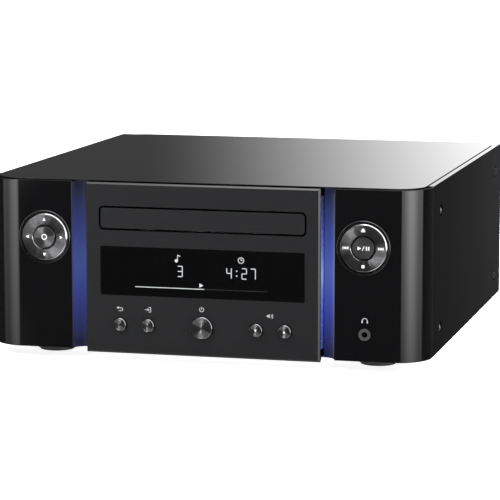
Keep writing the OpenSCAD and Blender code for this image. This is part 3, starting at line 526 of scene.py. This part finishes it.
def on_flange(face):
    """Whether a face of the phones socket is the front of the metal flange around its hole."""
    return face.center.y * 1000 < FRONT and -face.normal.y > LOOKS_FORWARD


def on_top(face):
    """Whether a face looks straight up."""
    return face.normal.z > LOOKS_UP


def off_rear(face):
    """Whether a face of the rear panel does not look back."""
    return face.normal.y < LOOKS_BACK


def on_slant(face):
    """Whether a face is a cut edge that looks forward and aside at about 45 degrees."""
    return LOOKS_ASIDE[0] < -face.normal.y < LOOKS_ASIDE[1]


cover_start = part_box("top_cover")[0][1]
# Each wing's cove faces take the painted blue glow.
for wing in ("left_wing", "right_wing"):
    wing_skin = dress(wing, 0.4, sharp=24, steps=3, others=((painted_light_cove, in_cove), (powder_black, on_top)))
    rear_finish = wing_skin.data.materials.find(powder_black.name)
    for face in wing_skin.data.polygons:
        if face.center.y > cover_start - WING_SEAM:
            face.material_index = rear_finish
dress("center_panel", 0.12, others=((cut_edge, on_slant),))
dress("top_plate", 0.25, sharp=24, steps=3)
dress("top_cover", 0.35, sharp=24, steps=3, others=((polished_sheet, on_top),))
dress("rear_panel", 0.25, sharp=24, others=((powder_black, off_rear), (polished_sheet, on_top)), edge_paint=1)
dress("tray_door", 0.35, sharp=24, steps=3)
dress("disc_tray", 0.3)
dress("display_window", 0.12)
dress("loader_chassis", 0.25)
dress("front_frame", 0.2)
dress("chassis_base", 0.2)
dress("feet", 0.5, steps=3)
dress("foot_pads", 0.3)
for light in ("left_light_guide", "right_light_guide"):
    dress(light, 0.15)
for button in (*SMALL_BUTTONS, "power_button"):
    dress(button, 0.06, others=((soft_edge, on_slant),))
for button in ("enter_button", "play_button"):
    dress(button, 0.06)
for side in ("cursor", "transport"):
    dress(side + "_bezel", 0.1, others=((piano_black, inside_rim),))
    dress(side + "_ring", 0.06, others=((bright_edge, on_slant),))
dress("phones_jack", 0.1, others=((jack_nickel, on_flange),))
for node in ("rear_jacks", "ac_inlet", "terminal_block"):
    dress(node, 0.2)
for number in (1, 2, 3, 4):
    dress(f"post_cap_{number}", 0.25)
for node in ("turntable", "laser_sled", "tray_gear", "disc_clamp", "clamp_bridge", "traverse_frame"):
    dress(node, 0.12)

for node, shape in nodes.items():
    if node in NODE_FINISH:
        shape.data.materials.clear()
        shape.data.materials.append(NODE_FINISH[node])


# Marks: thin printed plates, drawn as flat outlines in millimetres (right, up)

PRINT_T = 0.03
# Widths of drawn lines
BOLD, PLAIN, FINE = 0.42, 0.4, 0.35


def flat(u, v):
    """The face of most pieces lies behind its rim by nothing."""
    return 0.0


def dished(u, v):
    """How far the face of a ring lies behind its rim, at (u, v) from the middle."""
    inner, outer = RING_SPAN
    return RING_DISH * (outer - math.hypot(u, v)) / (outer - inner)


def plate(name, outlines, paint, body, x, y, z, sink=flat):
    """One piece of thin plates that stand on the face at y, about the point (x, z)."""
    form = bmesh.new()
    for outline in outlines:
        front = [form.verts.new(at(x + u, y - PRINT_T + sink(u, v), z + v)) for u, v in outline]
        back = [form.verts.new(at(x + u, y + sink(u, v), z + v)) for u, v in outline]
        form.faces.new(front)
        form.faces.new(back[::-1])
        for i in range(len(outline)):
            j = (i + 1) % len(outline)
            form.faces.new((front[i], back[i], back[j], front[j]))
    bmesh.ops.recalc_face_normals(form, faces=form.faces)
    bmesh.ops.triangulate(form, faces=[face for face in form.faces if len(face.verts) > 4])
    piece = piece_from(name, form)
    piece.data.materials.append(paint)
    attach(piece, body)


def around(u, v, radius, angle):
    """The point at that radius and angle in radians about (u, v)."""
    return u + radius * math.cos(angle), v + radius * math.sin(angle)


def block(u, v, w, h):
    """A rectangle about (u, v)."""
    return [(u - w / 2, v - h / 2), (u + w / 2, v - h / 2), (u + w / 2, v + h / 2), (u - w / 2, v + h / 2)]


def arrow(u, v, size, turn, flare=0.55):
    """A solid triangle about (u, v), pointing right before it is turned by that many degrees."""
    points = ((0.5 * size, 0.0), (-0.5 * size, flare * size), (-0.5 * size, -flare * size))
    c, s = math.cos(math.radians(turn)), math.sin(math.radians(turn))
    return [(u + a * c - b * s, v + a * s + b * c) for a, b in points]


def line(points, width):
    """Short plates along a run of points, each as wide as the line."""
    plates = []
    for (a, b), (c, d) in zip(points, points[1:]):
        length = math.hypot(c - a, d - b)
        n, m = -(d - b) / length * width / 2, (c - a) / length * width / 2
        plates.append([(a + n, b + m), (a - n, b - m), (c - n, d - m), (c + n, d + m)])
    return plates


def ring_part(u, v, radius, width, start, end, steps=16):
    """An arc of a ring as short plates, between two angles in degrees."""
    plates = []
    for i in range(steps):
        a, b = (math.radians(start + (end - start) * k / steps) for k in (i, i + 1))
        inner, outer = radius - width / 2, radius + width / 2
        corners = ((outer, a), (outer, b), (inner, b), (inner, a))
        plates.append([around(u, v, *corner) for corner in corners])
    return plates


# How far a sign stands above the middle of what it names, and where the volume sign stands
ROW_RISE, POWER_RISE, VOLUME_RISE, PHONES_RISE = 9.9, 11.6, 9.2, 8.6
VOLUME_X = 43.5
back_sign = (
    [arrow(-1.5, 0.55, 1.5, 180)]
    + line([(-0.9, 0.55), (0.9, 0.55)], BOLD)
    + ring_part(0.9, -0.35, 0.9, BOLD, -90, 90, 10)
    + line([(0.9, -1.25), (-0.6, -1.25)], BOLD)
)
input_sign = (
    [arrow(0.5, 0, 1.5, 0)]
    + line([(-2.0, 0), (-0.1, 0)], BOLD)
    + line([(0.4, 1.4), (2.0, 1.4)], BOLD)
    + line([(1.8, 1.4), (1.8, -1.4)], BOLD)
    + line([(2.0, -1.4), (0.4, -1.4)], BOLD)
)
power_sign = ring_part(0, -0.15, 1.35, PLAIN, 125, 415, 20) + line([(0, -0.2), (0, 1.6)], PLAIN)
volume_sign = (
    [[(-2.2, -0.5), (-1.4, -0.5), (-0.4, -1.35), (-0.4, 1.35), (-1.4, 0.5), (-2.2, 0.5)]]
    + ring_part(-0.4, 0, 1.1, FINE, -45, 45, 8)
    + ring_part(-0.4, 0, 2.0, FINE, -45, 45, 10)
)
phones_sign = (
    ring_part(0, -0.2, 1.6, BOLD, 0, 180, 14)
    + [block(u, -0.8, 0.8, 1.5) for u in (-1.6, 1.6)]
)
PANEL_MARKS = (
    ("back_mark", back_sign, BUTTON_X["back_button"], ROW_RISE),
    ("input_mark", input_sign, BUTTON_X["input_button"], ROW_RISE),
    ("power_mark", power_sign, 0.0, POWER_RISE),
    ("volume_mark", volume_sign, VOLUME_X, VOLUME_RISE),
)
for name, outlines, x, rise in PANEL_MARKS:
    plate(name, outlines, print_grey, "case", x, 0.0, BUTTON_Z + rise)
plate("phones_mark", phones_sign, print_grey, "case", PHONES[0], 0.0, PHONES[1] + PHONES_RISE)

for name, turn in (("volume_down_button", 270), ("volume_up_button", 90)):
    plate(name + "_mark", [arrow(0, 0, 1.5, turn)], print_white, name,
          BUTTON_X[name], BUTTON_FACE, BUTTON_Z)

# The signs on the rings stand on a circle of this radius.
MARK_R = 11.1


def skip_sign(side):
    """Two arrows and a bar that point right at 1 and left at -1, on the circle of signs."""
    turn = 0 if side > 0 else 180
    arrows = [arrow(side * (MARK_R + shift), 0, 1.45, turn, 0.66) for shift in (-1.25, 0.3)]
    return arrows + [block(side * (MARK_R + 1.25), 0, BOLD, 1.9)]


cursor_signs = [arrow(*around(0, 0, MARK_R, math.radians(turn)), 1.9, turn) for turn in (0, 90, 180, 270)]
eject_sign = [arrow(0, MARK_R + 0.5, 1.7, 90, 0.78), block(0, MARK_R - 0.9, 2.7, 0.5)]
stop_sign = [block(0, -MARK_R, 1.8, 1.8)]
play_sign = (
    [arrow(-2.3, 0, 2.2, 0)]
    + [block(u, 0, 0.75, 2.4) for u in (2.1, 3.5)]
    + line([(-0.5, -1.3), (0.7, 1.3)], 0.45)
)
RING_MARKS = (
    ("cursor_marks", cursor_signs, "cursor_ring", -RING_X),
    ("transport_marks", eject_sign + stop_sign + skip_sign(1) + skip_sign(-1), "transport_ring", RING_X),
)
CENTRE_MARKS = (
    ("enter_mark", ring_part(0, 0, 1.5, 0.55, 0, 360, 28), "enter_button", -RING_X),
    ("play_mark", play_sign, "play_button", RING_X),
)
for name, outlines, body, x in RING_MARKS:
    plate(name, outlines, print_white, body, x, RING_FACE, RING_Z, dished)
for name, outlines, body, x in CENTRE_MARKS:
    plate(name, outlines, print_white, body, x, RING_FACE, RING_Z)


# The display: plain numbers, a note, a clock and a running bar

SEGMENTS = {
    "a": ((0, 1), (1, 1)), "b": ((1, 1), (1, 0.5)), "c": ((1, 0.5), (1, 0)), "d": ((1, 0), (0, 0)),
    "e": ((0, 0), (0, 0.5)), "f": ((0, 0.5), (0, 1)), "g": ((0, 0.5), (1, 0.5)),
}
LIT = {"3": "abgcd", "4": "fgbc", "2": "abged", "7": "abc"}
DIGIT_W, DIGIT_H, STROKE = 2.9, 6.4, 0.52
# A bar of a figure stops short of its ends by this share of its stroke
BAR_INSET = 0.12
# Heights of the figures' feet and of the running bar, and the place of the dots between figures
DIGIT_BASE, BAR_V = -2.1, -9.5
DOTS_U, DOT = 22.3, 0.8


def digit(figure, u, v):
    """One figure of plain bars, its lower left corner at (u, v)."""
    bars = []
    for bar in LIT[figure]:
        (a, b), (c, d) = SEGMENTS[bar]
        run_u, run_v = (c - a) * DIGIT_W, (d - b) * DIGIT_H
        k = STROKE * BAR_INSET / math.hypot(run_u, run_v)
        start = (u + a * DIGIT_W + run_u * k, v + b * DIGIT_H + run_v * k)
        end = (u + a * DIGIT_W + run_u * (1 - k), v + b * DIGIT_H + run_v * (1 - k))
        bars += line([start, end], STROKE)
    return bars


def shown(name, outlines, paint):
    """Something that the display shows, drawn about the middle of its window."""
    plate(name, outlines, paint, "case", 0, WINDOW_FACE, WINDOW_Z)


time_figures = [bar for figure, u in (("4", 16.0), ("2", 25.6), ("7", 31.2))
                for bar in digit(figure, u, DIGIT_BASE)]
time_dots = [block(DOTS_U, v, DOT, DOT) for v in (-0.4, 2.6)]
note_sign = (
    ring_part(-16.1, 7.6, 0.55, 1.0, 0, 360, 14)
    + line([(-15.3, 7.6), (-15.3, 11.3)], BOLD)
    + line([(-15.4, 11.2), (-13.6, 10.4)], 0.5)
)
clock_sign = (
    ring_part(25.0, 9.3, 1.75, BOLD, 0, 360, 28)
    + line([(25.0, 9.2), (25.0, 10.5)], PLAIN)
    + line([(24.9, 9.3), (26.0, 9.3)], PLAIN)
)
shown("track_number", digit("3", -15.2, DIGIT_BASE), lit_digits)
shown("time_number", time_figures + time_dots, lit_digits)
shown("track_sign", note_sign, lit_digits)
shown("time_sign", clock_sign, lit_digits)
shown("bar_played", [block(-20.5, BAR_V, 44.2, 0.46), arrow(-0.15, -7.2, 2.5, 0)], lit_digits)
shown("bar_left", [block(21.9, BAR_V, 40.2, 0.3)], dim_digits)


# Case screws: one tree of geometry nodes sets a cross-head screw at every place

# Sizes in millimetres
HEAD_R, HEAD_T = 3.6, 1.0
SHANK_R, SHANK_L = 1.5, 3.9
CROSS_W, CROSS_D = 0.9, 0.6
# Shares of the head: the straight part of its height, where the dome starts, how tall the dome is, how far it
# narrows, and the length of the cross; and the shank with the bit that it shares with the head
STRAIGHT, DOME_START, DOME, NARROW, CROSS = 0.55, 0.5, 0.5, 0.84, 1.1
SHANK_LAP = 1.05
ROUND_SIDES = 40
# Every head stands at an angle of its own, up to this one in radians.
MOST_TWIST, TWIST_SEED = 1.5, 7
# Sizes of a screw that differ by less than this count as one, in metres
SIZE_SLACK = 1e-5


def screw_tree():
    """Points with an outward direction in, cross-head screws out."""
    tree = bpy.data.node_groups.new("cross_head_screws", "GeometryNodeTree")
    tree.interface.new_socket("Places", in_out="INPUT", socket_type="NodeSocketGeometry")
    for label in ("Head Radius", "Head Height", "Shank Radius", "Shank Length", "Cross Width", "Cross Depth"):
        tree.interface.new_socket(label, in_out="INPUT", socket_type="NodeSocketFloat")
    tree.interface.new_socket("Finish", in_out="INPUT", socket_type="NodeSocketMaterial")
    tree.interface.new_socket("Screws", in_out="OUTPUT", socket_type="NodeSocketGeometry")

    def node(kind, **settings):
        """A node of that kind in the tree."""
        made = tree.nodes.new(kind)
        for key, value in settings.items():
            setattr(made, key, value)
        return made

    def link(out, into):
        """A link from one socket to another."""
        tree.links.new(out, into)

    def share(value, factor):
        """A value multiplied by a plain number."""
        made = node("ShaderNodeMath", operation="MULTIPLY")
        link(value, made.inputs[0])
        made.inputs[1].default_value = factor
        return made.outputs[0]

    def column(low_r, top_r, depth, base):
        """A round column from the height base up."""
        made = node("GeometryNodeMeshCone")
        made.inputs["Vertices"].default_value = ROUND_SIDES
        link(low_r, made.inputs["Radius Bottom"])
        link(top_r, made.inputs["Radius Top"])
        link(depth, made.inputs["Depth"])
        return moved(made.outputs["Mesh"], base)

    def moved(shape, height):
        """A shape raised by that height."""
        place = node("ShaderNodeCombineXYZ")
        link(height, place.inputs["Z"])
        made = node("GeometryNodeTransform")
        link(shape, made.inputs["Geometry"])
        link(place.outputs["Vector"], made.inputs["Translation"])
        return made.outputs["Geometry"]

    def bar(length, width, depth, height):
        """A bar of the cross, its lower face at the height less the depth."""
        size = node("ShaderNodeCombineXYZ")
        for axis, value in zip("XYZ", (length, width, share(depth, 2))):
            link(value, size.inputs[axis])
        made = node("GeometryNodeMeshCube")
        link(size.outputs["Vector"], made.inputs["Size"])
        return moved(made.outputs["Mesh"], height)

    given = node("NodeGroupInput")
    head_r, head_t = given.outputs["Head Radius"], given.outputs["Head Height"]
    shank_r, shank = given.outputs["Shank Radius"], given.outputs["Shank Length"]
    width, depth = given.outputs["Cross Width"], given.outputs["Cross Depth"]

    cross_length = share(head_r, CROSS)
    skirt = column(head_r, head_r, share(head_t, STRAIGHT), share(head_t, 0.0))
    dome = column(head_r, share(head_r, NARROW), share(head_t, DOME), share(head_t, DOME_START))
    stem = column(shank_r, shank_r, share(shank, SHANK_LAP), share(shank, -1.0))
    solid = node("GeometryNodeMeshBoolean", operation="UNION")
    for shape in (skirt, dome, stem):
        link(shape, solid.inputs["Mesh 2"])
    cut = node("GeometryNodeMeshBoolean", operation="DIFFERENCE")
    link(solid.outputs["Mesh"], cut.inputs["Mesh 1"])
    for shape in (bar(cross_length, width, depth, head_t), bar(width, cross_length, depth, head_t)):
        link(shape, cut.inputs["Mesh 2"])

    outward = node("GeometryNodeInputNamedAttribute", data_type="FLOAT_VECTOR")
    outward.inputs["Name"].default_value = "outward"
    turn = node("FunctionNodeAlignRotationToVector", axis="Z")
    link(outward.outputs["Attribute"], turn.inputs["Vector"])
    twist = node("FunctionNodeRandomValue", data_type="FLOAT")
    twist.inputs["Max"].default_value = MOST_TWIST
    twist.inputs["Seed"].default_value = TWIST_SEED
    spin = node("FunctionNodeAxisAngleToRotation")
    link(twist.outputs[1], spin.inputs["Angle"])
    both = node("FunctionNodeRotateRotation", rotation_space="LOCAL")
    link(turn.outputs["Rotation"], both.inputs["Rotation"])
    link(spin.outputs["Rotation"], both.inputs["Rotate By"])

    placed = node("GeometryNodeInstanceOnPoints")
    link(given.outputs["Places"], placed.inputs["Points"])
    link(cut.outputs["Mesh"], placed.inputs["Instance"])
    link(both.outputs["Rotation"], placed.inputs["Rotation"])
    real = node("GeometryNodeRealizeInstances")
    link(placed.outputs["Instances"], real.inputs["Geometry"])
    paint = node("GeometryNodeSetMaterial")
    link(real.outputs["Geometry"], paint.inputs["Geometry"])
    link(given.outputs["Finish"], paint.inputs["Material"])
    out = node("NodeGroupOutput")
    link(paint.outputs["Geometry"], out.inputs["Screws"])
    return tree


def islands(form):
    """The separate solids of a bmesh, each as a list of points."""
    left = set(form.verts)
    while left:
        found, open_ends = [], [left.pop()]
        while open_ends:
            vert = open_ends.pop()
            found.append(vert.co.copy())
            for edge in vert.link_edges:
                other = edge.other_vert(vert)
                if other in left:
                    left.remove(other)
                    open_ends.append(other)
        yield found


def screw_places(node):
    """Where each solid of a screw node has the seat of its head, and which way the head looks."""
    form = welded(node)
    for points in islands(form):
        low = Vector([min(p[i] for p in points) for i in range(3)])
        high = Vector([max(p[i] for p in points) for i in range(3)])
        middle, size = (low + high) / 2, high - low
        axis = 0 if size.x > size.y + SIZE_SLACK else 1
        outward = Vector((0, 0, 0))
        outward[axis] = math.copysign(1, middle[axis])
        yield middle + outward * (size[axis] / 2 - HEAD_T / 1000), outward
    form.free()


def case_screw_heads():
    """Replaces the plain screws by cross-head ones."""
    def spot(found):
        """Where a screw sits, to a tenth of a millimetre, so that the order is the same at every run."""
        return [round(value, 4) for value in found[0]]

    places = sorted(screw_places("case_screws"), key=spot)
    mesh = bpy.data.meshes.new("case_screw_heads")
    mesh.from_pydata([place for place, _ in places], [], [])
    mesh.attributes.new("outward", "FLOAT_VECTOR", "POINT").data.foreach_set(
        "vector", [value for _, outward in places for value in outward])
    piece = bpy.data.objects.new("case_screw_heads", mesh)
    scene.collection.objects.link(piece)
    tree = screw_tree()
    screws = piece.modifiers.new("screws", "NODES")
    screws.node_group = tree
    sizes = {
        "Head Radius": HEAD_R, "Head Height": HEAD_T, "Shank Radius": SHANK_R, "Shank Length": SHANK_L,
        "Cross Width": CROSS_W, "Cross Depth": CROSS_D,
    }
    for socket in tree.interface.items_tree:
        if socket.name in sizes:
            screws[socket.identifier] = sizes[socket.name] / 1000
        elif socket.name == "Finish":
            screws[socket.identifier] = screw_black
    baked(piece)
    smooth(piece, 30)
    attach(piece, "case")
    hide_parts("case_screws")


case_screw_heads()


# Stage

FLOOR_HALF = 6.0
FLOOR_GLOW = 0.86
# Where the lamps aim, in metres
AIM = Vector((0, 0, 0.055))
# The camera of the photograph: its lens in millimetres, its place in metres, its turn and dip in degrees
LENS, SENSOR = 180.96, 36.0
CAMERA_PLACE = (0.40806, -1.61939, 0.29248)
CAMERA_TURN, CAMERA_DIP = 14.4, 8.252


def studio_light():
    """What the case mirrors, by direction; the camera itself sees plain white.

    Low boxes stand left and right of the front, with a small spot over the left one and a link and a high box
    over the right one. A wall stands behind to the left. A ceiling, a faint even light and a bounce from below
    fill the rest.
    """
    world = bpy.data.worlds.new("studio")
    world.use_nodes = True
    scene.world = world
    tree = world.node_tree
    tree.nodes.clear()

    def node(kind, **settings):
        """A node of that kind in the world's tree."""
        made = tree.nodes.new("ShaderNode" + kind)
        for key, value in settings.items():
            setattr(made, key, value)
        return made

    def feed(socket, value):
        """Sets a socket to a plain number, or links it to another one."""
        if isinstance(value, (int, float)):
            socket.default_value = value
        else:
            tree.links.new(value, socket)

    def math_of(operation, a, b=0.0):
        """One step of arithmetic on numbers or sockets."""
        made = node("Math", operation=operation)
        feed(made.inputs[0], a)
        feed(made.inputs[1], b)
        return made.outputs[0]

    def rise(value, low, high, top=1.0):
        """From 0 at the low angle to top at the high one, in degrees."""
        made = node("MapRange", interpolation_type="SMOOTHSTEP")
        feed(made.inputs["Value"], value)
        for socket, number in zip(("From Min", "From Max", "To Min", "To Max"), (low, high, 0.0, top)):
            made.inputs[socket].default_value = number
        return made.outputs["Result"]

    def fall(value, low, high, top=1.0):
        """From top at the low angle to 0 at the high one, in degrees."""
        return math_of("SUBTRACT", top, rise(value, low, high, top))

    def product(*values):
        """All the values multiplied."""
        return functools.reduce(functools.partial(math_of, "MULTIPLY"), values)

    def total_of(*values):
        """All the values added."""
        return functools.reduce(functools.partial(math_of, "ADD"), values)

    place = node("TexCoord")
    split = node("SeparateXYZ")
    tree.links.new(place.outputs["Generated"], split.inputs["Vector"])
    ahead = math_of("MULTIPLY", split.outputs["Y"], -1.0)
    turn = math_of("DEGREES", math_of("ARCTAN2", split.outputs["X"], ahead))
    left_turn = math_of("MULTIPLY", turn, -1.0)
    tilt = math_of("DEGREES", math_of("ARCSINE", split.outputs["Z"]))

    # Each light by the angles between which it rises and falls, and by its strength
    box_tilt = product(rise(tilt, -15, -4), fall(tilt, 1, 9))
    right_box = product(box_tilt, total_of(
        product(rise(turn, 22, 25), fall(turn, 94, 101), 2.4),
        product(rise(turn, 25, 55), fall(turn, 55, 88), 4.4)))
    left_box = product(box_tilt, total_of(
        product(rise(left_turn, 21, 25), fall(left_turn, 76, 86), 1.1),
        product(rise(left_turn, 20, 29), fall(left_turn, 34, 66), 2.7)))
    left_spot = product(
        rise(left_turn, 20, 25), fall(left_turn, 32, 40), rise(tilt, 0, 4), fall(tilt, 6, 10, 36.0))
    right_link = product(
        rise(turn, 56, 64), fall(turn, 82, 95), rise(tilt, 0, 8), fall(tilt, 26, 38, 2.6))
    high_box = product(
        rise(turn, 15, 50), fall(turn, 100, 130), rise(tilt, 25, 40), fall(tilt, 66, 76, 2.0))
    rear_wall = product(
        rise(tilt, 1, 4), fall(tilt, 14, 30), rise(left_turn, 163, 178, 3.0), fall(left_turn, 173, 180))
    ceiling = total_of(rise(tilt, 40, 75, 0.8), rise(tilt, 68, 78, 4.2))
    even = product(rise(tilt, -30, 10), 0.08)
    bounce = total_of(fall(tilt, -60, -30, 0.5), product(rise(turn, 20, 60), fall(tilt, -38, -17, 0.7)))
    level = total_of(right_box, left_box, left_spot, right_link, high_box, rear_wall, ceiling, even, bounce)

    path = node("LightPath")
    studio = node("Background")
    studio.inputs["Color"].default_value = (1, 1, 1, 1)
    tree.links.new(level, studio.inputs["Strength"])
    white = node("Background")
    white.inputs["Color"].default_value = (1, 1, 1, 1)
    white.inputs["Strength"].default_value = 1.0
    either = node("MixShader")
    tree.links.new(path.outputs["Is Camera Ray"], either.inputs["Fac"])
    tree.links.new(studio.outputs["Background"], either.inputs[1])
    tree.links.new(white.outputs["Background"], either.inputs[2])
    output = node("OutputWorld")
    tree.links.new(either.outputs["Shader"], output.inputs["Surface"])


def pale_floor():
    """A pale floor that looks white to the camera and still takes a soft shadow."""
    form = bmesh.new()
    bmesh.ops.create_grid(form, x_segments=8, y_segments=8, size=FLOOR_HALF)
    floor = piece_from("studio_floor", form)
    paint = bpy.data.materials.new("pale_floor")
    paint.use_nodes = True
    shader = shader_of(paint)
    shader.inputs["Base Color"].default_value = (0.8, 0.8, 0.8, 1)
    shader.inputs["Roughness"].default_value = 0.9
    path = add(paint, "LightPath")
    glow = add(paint, "Emission")
    glow.inputs["Strength"].default_value = FLOOR_GLOW
    both = add(paint, "AddShader")
    either = add(paint, "MixShader")
    output = paint.node_tree.nodes["Material Output"]
    join(paint, shader.outputs["BSDF"], both.inputs[0])
    join(paint, glow.outputs["Emission"], both.inputs[1])
    join(paint, path.outputs["Is Camera Ray"], either.inputs["Fac"])
    join(paint, shader.outputs["BSDF"], either.inputs[1])
    join(paint, both.outputs["Shader"], either.inputs[2])
    join(paint, either.outputs["Shader"], output.inputs["Surface"])
    floor.data.materials.append(paint)
    floor.visible_glossy = False


def soft_lamp(name, place, size, power):
    """A square soft lamp aimed at the middle of the case, its size in metres and its power in watts."""
    lamp = bpy.data.lights.new(name, "AREA")
    lamp.size = size
    lamp.energy = power
    holder = bpy.data.objects.new(name, lamp)
    holder.location = place
    holder.rotation_euler = (AIM - Vector(place)).to_track_quat("-Z", "Y").to_euler()
    holder.visible_camera = False
    holder.visible_glossy = False
    scene.collection.objects.link(holder)


studio_light()
pale_floor()
soft_lamp("key_lamp", (-0.95, -0.95, 1.25), 0.5, 26)
soft_lamp("rear_side_lamp", (0.42, 0.42, 0.25), 0.3, 17)

camera = bpy.data.cameras.new("photo_view")
camera.sensor_width = SENSOR
camera.lens = LENS
camera.clip_start = 0.05
photo_view = bpy.data.objects.new("photo_view", camera)
photo_view.location = CAMERA_PLACE
photo_view.rotation_euler = (math.radians(90 - CAMERA_DIP), 0, math.radians(CAMERA_TURN))
scene.collection.objects.link(photo_view)
scene.camera = photo_view
